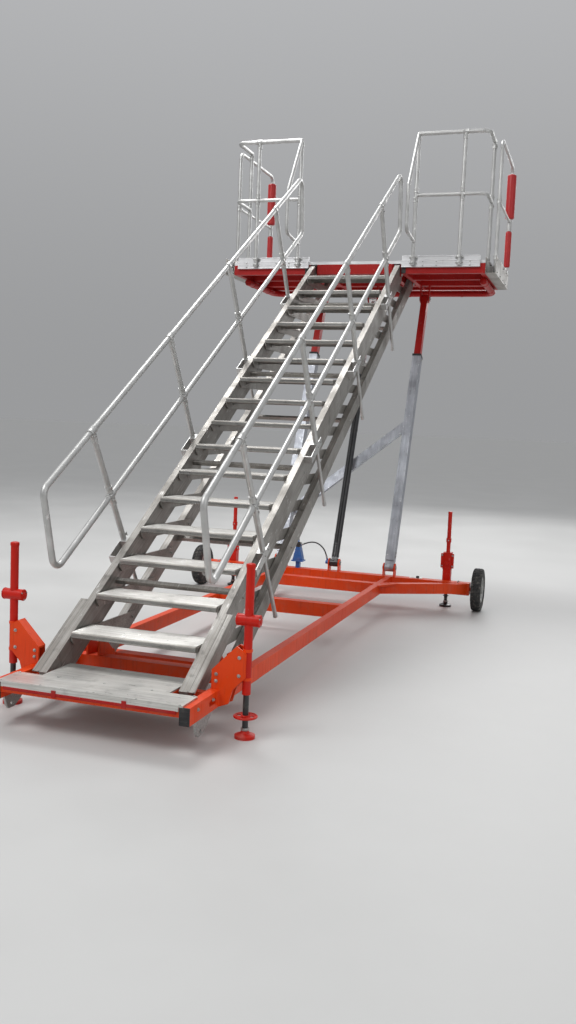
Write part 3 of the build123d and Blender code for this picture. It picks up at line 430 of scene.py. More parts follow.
# A bar of one section from point to point, then the same along the height, the depth and the width
def strut(section, start, end, upward=alongZ):
    start, end = np.asarray(start, float), np.asarray(end, float)
    steep = abs((end - start) @ upward) > 0.99 * np.linalg.norm(end - start)
    return carried(section, [start, end], alongY if steep else upward)


def uprightBar(section, x, y, low, high):
    return strut(section, (x, y, low), (x, y, high))


def levelBar(section, x, front, back, z):
    return strut(section, (x, front, z), (x, back, z))


def acrossBar(section, y, z, start, end):
    return strut(section, (start, y, z), (end, y, z))


# The profile of a dome, from its rim to the middle: r = radius cos a, h = start + rise sin a
def dome(radius, start, rise, count):
    arc = np.linspace(0, pi / 2, count)
    return list(zip(radius * np.cos(arc), start + rise * np.sin(arc)))


# A hoop round an axis, from the upper half of its section, read from the inside to the outside
def hoop(half, place, axis=alongZ, count=32):
    return turned([(r, -h) for r, h in half] + half[::-1], place, axis, count, True)


# A fitting: a collar with rolled lips round a tube, its radius swelling at both ends
def collar(radius, length, place, axis, wall=0.0045):
    half, outside = length / 2, radius + wall
    end = [(radius - 0.002, half), (outside, half), (outside + 0.0015, half - 0.002), (outside, half - 0.006)]
    return hoop(end, place, axis, 28)


# One shape set down at many places: point = place + shape turned so that its height runs along the axis
def setDown(shape, places):
    points, faces = shape
    frames = np.stack([squareTo(axis) for _, axis in places])
    origins = np.array([origin for origin, _ in places], float)
    moved = np.einsum("ni,kij->knj", points, frames) + origins[:, None]
    steps = np.arange(len(places)) * len(points)
    return moved.reshape(-1, 3), [(f[None] + steps[:, None, None]).reshape(-1, f.shape[1]) for f in faces]


# Many shapes as one: their points in a row, and the faces of each counted on from its first point
def joined(shapes):
    starts = np.cumsum([0] + [len(points) for points, _ in shapes])
    faces = [f + start for (_, group), start in zip(shapes, starts) for f in group]
    return np.vstack([points for points, _ in shapes]), faces


# A finished piece: one mesh at the origin, doubles merged, faces outwards, edges above 35 degrees sharp
def makePiece(name, shapes, body, slotName, materialName=None):
    points, groups = joined(shapes)
    mesh = bpy.data.meshes.new(name)
    mesh.from_pydata(points.tolist(), [], [face for group in groups for face in group.tolist()])
    work = bmesh.new()
    work.from_mesh(mesh)
    bmesh.ops.remove_doubles(work, verts=work.verts, dist=1e-6)
    bmesh.ops.recalc_face_normals(work, faces=work.faces)
    for face in work.faces:
        face.smooth = True
    work.to_mesh(mesh)
    work.free()
    mesh.set_sharp_from_angle(angle=radians(35))
    mesh.materials.append(materials[materialName or slotName])
    piece = bpy.data.objects.new(name, mesh)
    bpy.context.scene.collection.objects.link(piece)
    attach(piece, body)
    return piece


# The shapes of the right side, and their mirror images
def bothHands(shapes):
    return shapes + [(points * (-1, 1, 1), faces) for points, faces in shapes]


# Fasteners of turned parts, drawn at unit size as profiles with their numbers of sides
def fasteners(size, places, *parts):
    points, faces = joined([turned(profile, count=count) for profile, count in parts])
    return [setDown((points * size, faces), places)]


# A hexagon head on a washer, a domed cap nut, and a dished pin cap
def hexBolts(size, places):
    washer = [(0, -0.2), (1.15, -0.2), (1.15, 0.14), (1.05, 0.2), (0, 0.2)]
    head = [(0, 0.1), (0.92, 0.1), (0.92, 0.72), (0.78, 0.84), (0, 0.84)]
    tip = [(0, 0.7), (0.45, 0.7), (0.45, 1.05), (0.36, 1.14), (0, 1.14)]
    return fasteners(size, places, (washer, 18), (head, 6), (tip, 12))


def domeNuts(size, places):
    washer = [(0, -0.2), (1.2, -0.2), (1.2, 0.12), (1.1, 0.18), (0, 0.18)]
    cap = [(0, 0.1), (0.95, 0.1), (0.95, 0.5), *dome(0.8, 0.5, 0.6, 6)]
    return fasteners(size, places, (washer, 18), (cap, 18))


def pinCaps(size, places):
    rim = [(0, -0.1), (1, -0.1), (1, 0.26), (0.9, 0.36), (0.55, 0.36), (0.5, 0.26)]
    return fasteners(size, places, ([*rim, (0.3, 0.26), (0.26, 0.5), (0, 0.52)], 28))


# Places for fasteners that face along the width: points of the side view at one distance from the middle
def facingX(x, spots, toward=1):
    return [((x, y, z), (toward, 0, 0)) for y, z in spots]


# Ends of each pin on the right, past two cheeks that stand either side of a centre
def pinEnds(cheeks, y, z):
    ends = [(centre + s * (half + 0.0172), s) for centre, half in cheeks for s in bothSides]
    return [((x, y, z), (s, 0, 0)) for x, s in ends if x > 0]


# Fasteners in a circle whose axis is the width: y = middle + radius cos a, z = middle + radius sin a
def inCircle(centre, radius, count, start, sign):
    x, y, z = centre
    return [((x, y + radius * cos(a), z + radius * sin(a)), (sign, 0, 0)) for a in turns(count) + start]


# A weld: a round bead, r = size (1 + 0.16 |sin|) rippling along its line, sunk halfway into the corner
welds = {"size": 0.0042, "ripple": 0.0075, "step": 0.0028, "swell": 0.16, "endSize": 0.4}


def weldBead(start, end):
    length = np.linalg.norm(end - start)
    t = np.linspace(0, 1, max(int(length / welds["step"]), 4))
    swell = 1 + welds["swell"] * np.abs(np.sin(pi * t * length / welds["ripple"]))
    swell[0] = swell[-1] = welds["endSize"]
    upward = alongY if abs((end - start)[2]) > 0.9 * length else alongZ
    return carried(ring(welds["size"], 7), start + t[:, None] * (end - start), upward, swell)


# Beads along lines of the right side, and along the same lines on the left
def weldBeads(lines):
    return [weldBead(*np.multiply(line, (s, 1, 1))) for s in bothSides for line in lines]


def uprightLine(x, y, low, high):
    return (x, y, low), (x, y, high)


def levelLine(x, front, back, z):
    return (x, front, z), (x, back, z)


# Lines at both faces of every cheek plate on the right, 12 mm thick
def cheekLines(cheeks, y, reach, z):
    plates = [near for centre, half in cheeks for near in (centre - half - 0.017, centre + half + 0.005) if near > 0]
    return [levelLine(x, y - reach, y + reach, z) for near in plates for x in (near, near + 0.012)]


print("tools ready")

# Tyres: the section runs from bead to bead over the crown, and the radius drops by the groove depth where
# x is in a groove, or where the turn's share of a block, slanted by x, is in a cut
tyre = {
    "section": [
        (0.036, 0.126), (0.044, 0.134), (0.0485, 0.155), (0.0495, 0.178), (0.0475, 0.196), (0.0425, 0.2065),
        (0.034, 0.2120), (0.018, 0.2145), (0.0, 0.2150),
    ],
    "grooves": (-0.0135, 0.0135), "grooveHalf": 0.0024, "blocks": 36, "slant": 9.0, "shoulder": 0.0165,
    "shoulderCut": 0.30, "ribHalf": 0.009, "ribCut": 0.10, "depth": 0.0070, "crownFrom": 0.197, "crownBlend": 0.012,
    "wallRings": 0.0009, "bead": 0.036, "beadRadius": 0.124, "around": 504, "across": 88,
}


def tyreShape(spec, centreX):
    half = np.array(spec["section"])
    section = smoothLine(np.vstack((half, (half * (-1, 1))[-2::-1])), spec["across"])
    x, r = section[:, :1], section[:, 1:]
    turn = turns(spec["around"])
    lateral = (turn * spec["blocks"] / (2 * pi) + spec["slant"] * x) % 1.0
    grooves = np.min([np.abs(x - g) for g in spec["grooves"]], axis=0) < spec["grooveHalf"]
    shoulderCuts = (lateral < spec["shoulderCut"]) & (np.abs(x) > spec["shoulder"])
    ribCuts = (lateral < spec["ribCut"]) & (np.abs(x) < spec["ribHalf"])
    crown = np.clip((r - spec["crownFrom"]) / spec["crownBlend"], 0, 1)
    rings = spec["wallRings"] * np.sin((r - 0.14) * 700) * (1 - crown)
    radius = r - spec["depth"] * crown * (grooves | shoulderCuts | ribCuts) + rings
    radius = np.vstack((radius, np.full((2, len(turn)), spec["beadRadius"])))
    x = np.vstack((x, (-spec["bead"],), (spec["bead"],)))
    points = stacked(centreX + x, beamY + radius * np.cos(turn), axleZ + radius * np.sin(turn))
    return points.reshape(-1, 3), [gridFaces(len(x), spec["around"], True)]


for side, sign in signs:
    tyrePiece = makePiece("tyreTread_" + side, [tyreShape(tyre, sign * wheelX)], "wheel_" + side, "tyre")
    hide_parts("tyre_" + side)

# Wheel hubs: a domed grease cap, nuts on the dish, a valve, and a bead round the rim's flange
hub = {
    "nuts": 5, "nutCircle": 0.064, "nutTurn": 0.3, "nutSize": 0.011, "dish": 0.0145, "hubEnd": 0.0455,
    "cap": [(0, -0.004), (0.031, -0.004), (0.031, 0.004), *dome(0.029, 0.005, 0.0045, 8)],
    "valve": [(0, -0.006), (0.004, -0.006), (0.004, 0.012), (0.0028, 0.013), (0.0028, 0.017), (0, 0.0175)],
    "valveUp": 0.088, "flangeOut": 0.037,
    "flange": [(0.116, 0.0), (0.1215, -0.0025), (0.1275, 0.0), (0.1275, 0.0035), (0.1215, 0.006), (0.116, 0.003)],
}
for side, sign in signs:
    outward = (sign, 0, 0)
    face, capX, flangeX = (sign * (wheelX + hub[key]) for key in ("dish", "hubEnd", "flangeOut"))
    nuts = inCircle((face, beamY, axleZ), hub["nutCircle"], hub["nuts"], hub["nutTurn"], sign)
    makePiece("hub_" + side, [
        turned(hub["cap"], (capX, beamY, axleZ), outward, 32), *hexBolts(hub["nutSize"], nuts),
        turned(hub["valve"], (face, beamY, axleZ + hub["valveUp"]), outward, 12),
        turned(hub["flange"], (flangeX, beamY, axleZ), outward, 72, True),
    ], "wheel_" + side, "steel")
print("wheels done")

# Tread ribs: a comb of ribs runs the length of each plank, and finer ones wrap its rounded nose
ribs = {
    "count": 22, "front": 0.012, "back": 0.262, "height": 0.0010, "share": 0.68, "halfLength": 0.4166,
    "noseCount": 5, "noseLow": 0.031, "noseHigh": 0.007, "noseShare": 0.6, "noseOut": 0.0016,
    "boltX": 0.4172, "boltSize": 0.0095,
}


# A comb: bevelled teeth of one height over a flat back, sunk 1 mm; returns its outline as (along, height)
def comb(start, end, count, share, height):
    pace = (end - start) / count
    left = start + pace * np.arange(count)
    bevel, right = pace * 0.08, left + pace * share
    along = np.stack((left, left + bevel, right - bevel, right), axis=1).reshape(-1)
    top = np.stack((along, np.tile((0.0, height, height, 0.0), count)), axis=1)
    return np.vstack((top, ((along[-1], -0.001), (along[0], -0.001))))


ends = [(ribs["halfLength"], 0, 0), (-ribs["halfLength"], 0, 0)]
for step in range(1, 17):
    noseY, noseZ = stairY + step * going, baseTop + step * riser
    topComb = comb(noseY + ribs["front"], noseY + ribs["back"], ribs["count"], ribs["share"], ribs["height"])
    noseComb = comb(-ribs["noseLow"], -ribs["noseHigh"], ribs["noseCount"], ribs["noseShare"], ribs["noseOut"])
    noseComb = noseComb[:, ::-1] * (-1, 1) + (noseY, noseZ)
    combs = [carried(topComb + (0, noseZ), ends), carried(noseComb, ends)]
    bolts = hexBolts(ribs["boltSize"], facingX(ribs["boltX"], (pivot(step), linkPivot(step)), -1))
    makePiece(f"treadRibs_{step:02d}", combs, f"tread_{step:02d}", "tread_aluminium")
    makePiece(f"treadBolts_{step:02d}", bothHands(bolts), f"tread_{step:02d}", "steel")
print("treads done")

# Base plate: screws in rows, and the red rail on tabs under its front lip
basePlate = {
    "screwX": (-0.56, -0.3, 0.0, 0.3, 0.56), "screwY": (plateLow.y + 0.006, stairY - 0.028), "screwZ": baseTop + 0.0012,
    "screw": [(0, 0), (0.0075, 0), (0.0075, 0.001), (0.005, 0.0026), (0.0022, 0.0026), (0.0022, 0.001), (0, 0.001)],
    "rail": rounded(0.012, 0.019, 0.003), "railHalf": 0.54, "railZ": 0.2375,
    "tab": rounded(0.028, 0.006, 0.001), "tabX": (-0.21, 0.23), "tabTop": 0.262, "tabLow": 0.222,
}
screws = [((x, y, basePlate["screwZ"]), alongZ) for x in basePlate["screwX"] for y in basePlate["screwY"]]
makePiece("basePlateScrews", [setDown(turned(basePlate["screw"], count=16), screws)], "chassis", "steel")
railHalf = basePlate["railHalf"]
lip = [acrossBar(basePlate["rail"], plateLow.y + 0.004, basePlate["railZ"], -railHalf, railHalf)]
for x in basePlate["tabX"]:
    lip.append(uprightBar(basePlate["tab"], x, plateLow.y - 0.001, basePlate["tabTop"], basePlate["tabLow"]))
makePiece("lipRail", lip, "chassis", "red_paint")

# Rubber end caps: three ribs stand off each cap's front face
endCap = {"near": 0.566, "far": 0.614, "ribZ": (0.192, 0.220, 0.248), "rib": rounded(0.005, 0.010, 0.002)}
capRibs = [acrossBar(endCap["rib"], plateLow.y + 0.0005, z, endCap["near"], endCap["far"]) for z in endCap["ribZ"]]
makePiece("endCapRibs", bothHands(capRibs), "chassis", "black_rubber")

# Chassis joints: beads where the cross members, outriggers, gussets, clevises and jack brackets meet, given for
# the right. Cross members: how far behind the stair's foot, depth and welded height; cheeks: centre and half gap
chassis = {
    "railIn": 0.56, "railOut": 0.62, "beamFront": beamY - 0.055, "beamTop": 0.275, "low": 0.171, "high": 0.269,
    "crossRows": [
        (-0.215, 0.06, 0.21, 0.269), (0.62, 0.08, 0.171, 0.25), (0.94, 0.09, 0.171, 0.20),
        (3.05, 0.09, 0.171, 0.265), (4.30, 0.093, 0.171, 0.269),
    ],
    "outFront": stairY + 4.323, "outDepth": 0.093, "outEnd": wheelX - 0.10, "gusset": 0.15,
    "cheeks": ((0.59, 0.045), (0.0, 0.042)),
}
rearX, rearY = wheelX - 0.33, beamY + 0.095
railOut, beamFront, outFront, outEnd, gusset = (
    chassis[key] for key in ("railOut", "beamFront", "outFront", "outEnd", "gusset")
)
outBack, tilt = outFront + chassis["outDepth"], (beamFront - outFront) / (outEnd - railOut)
outNear = outEnd - chassis["outDepth"] / tilt
lines = cheekLines(chassis["cheeks"], beamY, 0.045, chassis["beamTop"])
for back, depth, low, high in chassis["crossRows"]:
    lines += [uprightLine(chassis["railIn"], stairY + y, low, high) for y in (back, back + depth)]
for x, y in ((railOut, outFront), (railOut, outBack), (outEnd, beamFront), (outNear, beamFront)):
    lines.append(uprightLine(x, y, chassis["low"], chassis["high"]))
lines += [
    levelLine(railOut, outFront, outBack, 0.270), ((outEnd, beamFront, 0.270), (outNear, beamFront, 0.270)),
    ((railOut, outFront - gusset, 0.271), (railOut + gusset, outFront + gusset * tilt, 0.271)),
]
for s in bothSides:  # brackets on the rails, jack tubes in the brackets, rear blocks on the beam
    lines += [
        uprightLine(0.621, jackY + s * 0.037, 0.172, 0.268),
        uprightLine(jackX - 0.002, jackY + s * 0.026, 0.356, 0.498),
        uprightLine(rearX + s * 0.04, beamY + 0.055, 0.158, 0.272),
    ]
makePiece("chassisWelds", weldBeads(lines), "chassis", "orange_paint")
print("welds done")

# Chassis fasteners: pin caps at the stair's foot and at the clevises, bolts of the rails, brackets and beam
chassisFixings = {
    "pinSize": 0.024, "pinX": 0.4952, "boltSize": 0.0095, "railFace": 0.6202, "bracketFace": 0.0372, "beamX": 1.3,
    "frontBolts": ((0.738, 0.470), (0.738, 0.365), (0.60, 0.32), (0.60, 0.36)),
    "backBolts": ((0.738, 0.470), (0.738, 0.365)),
}
pins = facingX(chassisFixings["pinX"], (pivot(0), linkPivot(0))) + pinEnds(chassis["cheeks"][:1], beamY, legFoot.z)
middlePin = pinCaps(chassisFixings["pinSize"], pinEnds(chassis["cheeks"][1:], beamY, legFoot.z))
makePiece("chassisPins", bothHands(pinCaps(chassisFixings["pinSize"], pins)) + middlePin, "chassis", "steel")
bolts = facingX(chassisFixings["railFace"], [(jackY + dy, z) for dy in (-0.02, 0.02) for z in (0.20, 0.24)])
bolts += facingX(chassisFixings["railFace"], [(stairY + back, 0.235) for back in (-0.11, 0.10)])
bolts += [((x, jackY - chassisFixings["bracketFace"], z), toFront) for x, z in chassisFixings["frontBolts"]]
bolts += [((x, jackY + chassisFixings["bracketFace"], z), alongY) for x, z in chassisFixings["backBolts"]]
bolts += [((chassisFixings["beamX"], beamY + dy, chassis["beamTop"]), alongZ) for dy in (-0.03, 0.03)]
makePiece("chassisBolts", bothHands(hexBolts(chassisFixings["boltSize"], bolts)), "chassis", "steel")

# Front jacks: domed top caps, flanged ends on the crank case with three screws each, and clamp bands
frontJack = {
    "top": 1.0, "crankZ": 0.685, "caseEnd": 0.066, "bandZ": (0.345, 0.510), "screwCircle": 0.028, "screwSize": 0.0048,
    "cap": [(0, -0.012), (0.0275, -0.012), (0.0275, 0.004), *dome(0.0275, 0.004, 0.009, 7)],
    "flange": [
        (0, -0.004), (0.0355, -0.004), (0.0362, -0.002), (0.0355, 0.003), (0.030, 0.0055), (0.016, 0.006),
        (0.014, 0.010), (0, 0.011),
    ],
    "band": [(0.0245, 0.009), (0.0255, 0.009), (0.0285, 0.008)],
}
cases, caseScrews = [], []
for s in bothSides:
    end = (jackX + s * frontJack["caseEnd"], jackY, frontJack["crankZ"])
    cases.append(turned(frontJack["flange"], end, (s, 0, 0), 36))
    caseScrews += inCircle((end[0] + s * 0.005, *end[1:]), frontJack["screwCircle"], 3, 0.5, s)
caps = [turned(frontJack["cap"], (jackX, jackY, frontJack["top"]))]
bands = [hoop(frontJack["band"], (jackX, jackY, z)) for z in frontJack["bandZ"]]
makePiece("jackCaps", bothHands(caps), "chassis", "red_paint", "jack_red")
makePiece("crankCases", bothHands(cases), "chassis", "red_paint", "jack_red")
makePiece("jackBands", bothHands(bands), "chassis", "orange_paint")
makePiece("crankScrews", bothHands(hexBolts(frontJack["screwSize"], caseScrews)), "chassis", "steel")

# Rear jacks: sleeves round the square blocks (from, to, width) with bolted side flanges, a cap and a knob
rearJack = {
    "sleeves": ((0.390, 0.552, 0.083), (0.535, 0.556, 0.089), (0.386, 0.402, 0.089)), "top": 0.97, "knobZ": 0.455,
    "flange": rounded(0.028, 0.012, 0.002), "flangeX": 0.052, "screwSize": 0.006, "boltSize": 0.0075,
    "cap": [(0, -0.02), (0.021, -0.02), (0.0215, -0.004), (0.019, 0.002), (0.012, 0.004), (0, 0.0045)],
    "knob": [(0, -0.004), (0.007, -0.004), (0.007, 0.020), (0.019, 0.022), (0.021, 0.030), (0.019, 0.040), (0, 0.043)],
}
sleeves = [uprightBar(rounded(size, size, 0.006), rearX, rearY, low, high) for low, high, size in rearJack["sleeves"]]
flangeBolts = []
for s in bothSides:
    edge = rearX + s * rearJack["flangeX"]
    sleeves.append(uprightBar(rearJack["flange"], edge, rearY - 0.028, 0.398, 0.546))
    flangeBolts += [((edge + s * 0.001, rearY - 0.034, z), toFront) for z in (0.418, 0.526)]
knobs = [
    turned(rearJack["cap"], (rearX, rearY, rearJack["top"])),
    turned(rearJack["knob"], (rearX, rearY - 0.0415, rearJack["knobZ"]), toFront),
]
screws = hexBolts(rearJack["screwSize"], [((rearX, rearY - 0.026, 0.68), toFront)])
screws += hexBolts(rearJack["boltSize"], flangeBolts)
makePiece("rearJackSleeves", bothHands(sleeves), "chassis", "red_paint", "jack_red")
makePiece("rearJackKnobs", bothHands(knobs), "chassis", "red_paint", "jack_red")
makePiece("collarScrews", bothHands(screws), "chassis", "steel")

# Jack screws: the thread's radius = core + depth times a triangle wave of (height / lead - turn)
thread = {"core": 0.0171, "depth": 0.0006, "lead": 0.006, "around": 32, "rowsPerLead": 5, "low": 0.049}


def threadShape(spec, x, y, high):
    rows = int((high - spec["low"]) / spec["lead"] * spec["rowsPerLead"])
    h = np.linspace(spec["low"], high, rows)[:, None]
    turn = turns(spec["around"])
    phase = (h / spec["lead"] - turn / (2 * pi)) % 1.0
    radius = spec["core"] + spec["depth"] * (1 - np.abs(2 * phase - 1))
    points = stacked(x + radius * np.cos(turn), y + radius * np.sin(turn), h).reshape(-1, 3)
    first = np.arange(spec["around"])[None]
    return points, [gridFaces(rows, spec["around"]), first, first + (rows - 1) * spec["around"]]


handWheel = {
    "z": 0.126, "radius": 0.0645, "rim": ring(0.0065, 12), "around": 48,
    "hub": [(0.012, 0.008), (0.026, 0.008), (0.028, 0.006)],
}
footCollar = {"z": 0.052, "half": [(0.0165, 0.008), (0.023, 0.008), (0.025, 0.004)]}
rimLine = np.pad(ring(handWheel["radius"], handWheel["around"]), ((0, 0), (0, 1)))
for side, sign in signs:
    for end, x, y, high in (("front", sign * jackX, jackY, 0.33), ("rear", sign * rearX, rearY, 0.26)):
        foot = f"{end}_jack_foot_{side}"
        makePiece(f"thread_{end}_{side}", [threadShape(thread, x, y, high)], foot, "black_paint")
        if end == "front":
            middle = (x, y, handWheel["z"])
            rim = carried(handWheel["rim"], rimLine + middle, closedPath=True)
            wheelShapes = [rim, hoop(handWheel["hub"], middle, count=24)]
            makePiece(f"handWheel_{side}", wheelShapes, foot, "red_paint", "jack_red")
        makePiece(f"footCollar_{end}_{side}", [hoop(footCollar["half"], (x, y, footCollar["z"]))], foot, "steel")
print("jacks done")

# Stair fasteners: bolts of the doublers and of the tread steps, pin caps at the top, bolts in the link tubes
stair = {
    "doublerX": 0.4862, "doublerRuns": (0.10, 0.25, 0.40, 0.55, 0.66), "face": 0.4802, "boltSize": 0.009,
    "boltSteps": (2, 6, 10, 14), "linkSteps": (3, 8, 13), "topPinX": 0.4965, "topPinSize": 0.022,
}
bolts = facingX(stair["doublerX"], [onFlight(run, flangeLift - 0.035) for run in stair["doublerRuns"]])
bolts += facingX(stair["face"], [(y + 0.125, z + 0.066) for y, z in map(pivot, stair["boltSteps"])])
makePiece("stairBolts", bothHands(hexBolts(stair["boltSize"], bolts)), "stair", "steel")
topPins = pinCaps(stair["topPinSize"], facingX(stair["topPinX"], [pivot(topStep)]))
makePiece("topPins", bothHands(topPins), "platform", "steel")
bolts = facingX(stair["face"], [(y + going / 2, z + riser / 2) for y, z in map(linkPivot, stair["linkSteps"])])
makePiece("linkBolts", bothHands(hexBolts(stair["boltSize"], bolts)), "links", "steel")

# Lines drawn into the stringers near the edges of their faces, and two on the doublers' tops.
# Rows: x, lift from the stringer's top, where it starts and ends along the flight, and its section
drawn, raised = rounded(0.0016, 0.006, 0.0007, 3), rounded(0.012, 0.004, 0.001, 3)
stringerEnd = topStep * hypot(riser, going) + 0.10
seamRows = [
    (0.4803, -0.012, 0.70, stringerEnd, drawn), (0.4803, -0.183, 0.16, stringerEnd, drawn),
    (0.4297, -0.012, 0.16, stringerEnd, drawn), (0.4297, -0.183, 0.16, stringerEnd, drawn),
    (0.486, 0.0006, 0.042, 0.688, raised), (0.522, 0.0006, 0.042, 0.688, raised),
]
seams = []
for x, lift, start, end, section in seamRows:
    seams.append(strut(section, *((x, *onFlight(run, flangeLift + lift)) for run in (start, end)), flightUp))
makePiece("stringerSeams", bothHands(seams), "stair", "stringer_aluminium")

# Handrail fittings: a sleeve on each rail where a post crosses it, collars on the post beside it, set screws,
# and a cap on each post's lower end. Rails: height over the nosings, and where the collars sit
handrail = {
    "x": 0.515, "pitch": 1.32, "posts": 4, "rails": ((1.0, (-0.050,)), (0.4, (-0.050, 0.050))), "tube": 0.021,
    "post": 0.020, "spurEnd": -0.625, "screwSize": 0.0055,
    "cap": [(0, -0.02), (0.0165, -0.02), (0.0165, 0.004), (0.013, 0.008), (0, 0.009)],
}
fittings, screws, x = [], [], handrail["x"]
for run in handrail["pitch"] * np.arange(1, handrail["posts"] + 1):
    for rise, offsets in handrail["rails"]:
        lift = rise * cos(slope)
        fittings.append(collar(handrail["tube"], 0.062, (x, *onFlight(run, lift)), flightAlong))
        spots = [onFlight(run, lift + offset) for offset in offsets]
        fittings += [collar(handrail["post"], 0.046, (x, *spot), flightUp) for spot in spots]
        screws += facingX(x + 0.0245, spots) + facingX(x + 0.0255, [onFlight(run + s * 0.019, lift) for s in bothSides])
    screws += facingX(x + 0.0212, [onFlight(run + along, flangeLift - 0.030) for along in (-0.15, -0.02, 0.05)])
    fittings.append(turned(handrail["cap"], (x, *onFlight(run, handrail["spurEnd"])), -flightUp))
makePiece("railFittings", bothHands(fittings), "stair", "tube_aluminium")
makePiece("railScrews", bothHands(hexBolts(handrail["screwSize"], screws)), "stair", "steel")
print("stair done")

# Deck: ribs along the planks, and dark sealing strips in the seams between them
deck = {"planks": 6, "ribs": 10, "share": 0.5, "height": 0.0022, "seam": rounded(0.007, 0.0018, 0.0004, 3)}
plank = (deckBack - deckY - 0.012) / deck["planks"]
starts = deckY + 0.006 + plank * np.arange(deck["planks"])
ends = [(platformHalf - 0.004, 0, 0), (0.004 - platformHalf, 0, 0)]
combs = [comb(y + 0.006, y + plank - 0.004, deck["ribs"], deck["share"], deck["height"]) for y in starts]
makePiece("deckRibs", [carried(outline + (0, deckZ), ends) for outline in combs], "platform", "deck_aluminium")
deckSeams = [acrossBar(deck["seam"], y + 0.001, deckZ, platformHalf - 0.006, 0.006 - platformHalf) for y in starts[1:]]
makePiece("deckSeams", deckSeams, "platform", "black_rubber")

# Toe boards: a rolled top lip and lines along the face, as rows of y, z, width and height; joint straps
toe = {
    "near": 0.50, "far": 1.30, "low": deckZ - 0.071, "top": deckZ + 0.046, "face": deckY - 0.030,
    "strapX": (0.72, 0.86, 1.20), "strap": rounded(0.018, 0.005, 0.001),
}
toeRows = [
    (deckY - 0.016, toe["top"] - 0.004, 0.007, 0.009), (toe["face"], deckZ - 0.004, 0.006, 0.008),
    (toe["face"], toe["low"] + 0.006, 0.006, 0.012), (toe["face"], deckZ - 0.036, 0.003, 0.004),
]
toeShapes = [acrossBar(rounded(w, h, 0.0012, 3), y, z, toe["near"], toe["far"]) for y, z, w, h in toeRows]
for x in toe["strapX"]:
    toeShapes.append(uprightBar(toe["strap"], x, toe["face"] - 0.001, toe["low"] + 0.004, deckZ - 0.002))
makePiece("toeBoardLips", bothHands(toeShapes), "platform", "deck_aluminium")
strapEnds = (toe["low"] + 0.016, deckZ - 0.016)
guardScrews = [((x, toe["face"] - 0.0035, z), toFront) for x in toe["strapX"] for z in strapEnds]

# Guard fittings: collars where rails cross posts, U-shaped straps that hold the posts to the toe boards, a
# plug under each post and a socket on the deck. Rails: height, radius, and where the collars sit
guard = {
    "y": deckY - 0.050, "sideX": 1.33, "sideY": deckY + 0.35, "posts": (0.62, 1.09), "post": 0.020,
    "rails": ((1.245, 0.021, (-0.048,)), (0.64, 0.018, (-0.046, 0.046))), "screwSize": 0.0058,
    "strap": np.array([
        (-0.040, 0.0), (-0.0225, 0.0), (-0.0225, -0.030), (-0.016, -0.0405), (0.0, -0.0445), (0.016, -0.0405),
        (0.0225, -0.030), (0.0225, 0.0), (0.040, 0.0),
    ]),
    "plug": [(0, -0.001), (0.0215, -0.001), (0.0215, 0.010), (0.019, 0.012), (0, 0.012)],
    "socket": [(0, -0.0005), (0.045, -0.0005), (0.045, 0.006), (0.026, 0.008), (0.0235, 0.020), (0, 0.020)],
}
collarZ = [deckZ + rise + offset for rise, _, offsets in guard["rails"] for offset in offsets]
x, y = guard["sideX"], guard["sideY"]
guardShapes = [turned(guard["socket"], (x, y, deckZ), count=32)]
guardShapes += [collar(guard["post"], 0.044, (x, y, z), alongZ) for z in collarZ]
guardScrews += facingX(x + 0.0245, [(y, z) for z in collarZ])
for rise, radius, _ in guard["rails"]:
    guardShapes.append(collar(radius, 0.058, (guard["posts"][1], guard["y"], deckZ + rise), alongX))
for x in guard["posts"]:
    guardShapes += [collar(guard["post"], 0.044, (x, guard["y"], z), alongZ) for z in collarZ]
    guardScrews += [((x, guard["y"] - 0.0245, z), toFront) for z in collarZ]
    for z in (deckZ - 0.030, deckZ + 0.026):
        strapPath = stacked(x + guard["strap"][:, 0], deckY - 0.0285 + guard["strap"][:, 1], z)
        guardShapes.append(carried(rounded(0.0045, 0.020, 0.001, 3), strapPath))
        guardScrews += [((x + s * 0.033, deckY - 0.031, z), toFront) for s in bothSides]
    guardShapes.append(turned(guard["plug"], (x, guard["y"], deckZ - 0.053)))
makePiece("guardFittings", bothHands(guardShapes), "platform", "tube_aluminium")
makePiece("guardScrews", bothHands(hexBolts(guard["screwSize"], guardScrews)), "platform", "steel")

# Platform frame: black plugs in the open tube ends (x, y, outward), hanger pin caps, and welds
platformFrame = {
    "plugs": ((0.375, deckBack, 1), (0.52, deckY, -1), (0.52, deckBack, 1), (1.325, deckBack, 1)),
    "plug": rounded(0.046, 0.096, 0.006), "cheeks": ((0.59, 0.035), (0.0, 0.042)), "pinSize": 0.026, "linkPinX": 0.4952,
    "weldX": (0.425, 0.545, 1.30), "weldBack": (0.05, 0.425, 0.475, 0.85, 0.95, 1.15),
}
plugs = []
for x, y, outward in platformFrame["plugs"]:
    plugs.append(levelBar(platformFrame["plug"], x, y - outward * 0.004, y + outward * 0.003, deckZ - 0.08))
makePiece("framePlugs", bothHands(plugs), "platform", "black_rubber")
pins = pinEnds(platformFrame["cheeks"], legHead.y, legHead.z) + facingX(platformFrame["linkPinX"], [linkPivot(topStep)])
makePiece("hangerPins", bothHands(pinCaps(platformFrame["pinSize"], pins)), "platform", "steel")
lines = cheekLines(platformFrame["cheeks"], legHead.y, 0.044, deckZ - 0.1305)
for x in platformFrame["weldX"]:
    lines += [uprightLine(x, deckY + back, deckZ - 0.128, deckZ - 0.034) for back in platformFrame["weldBack"]]
makePiece("frameWelds", weldBeads(lines), "platform", "red_paint")

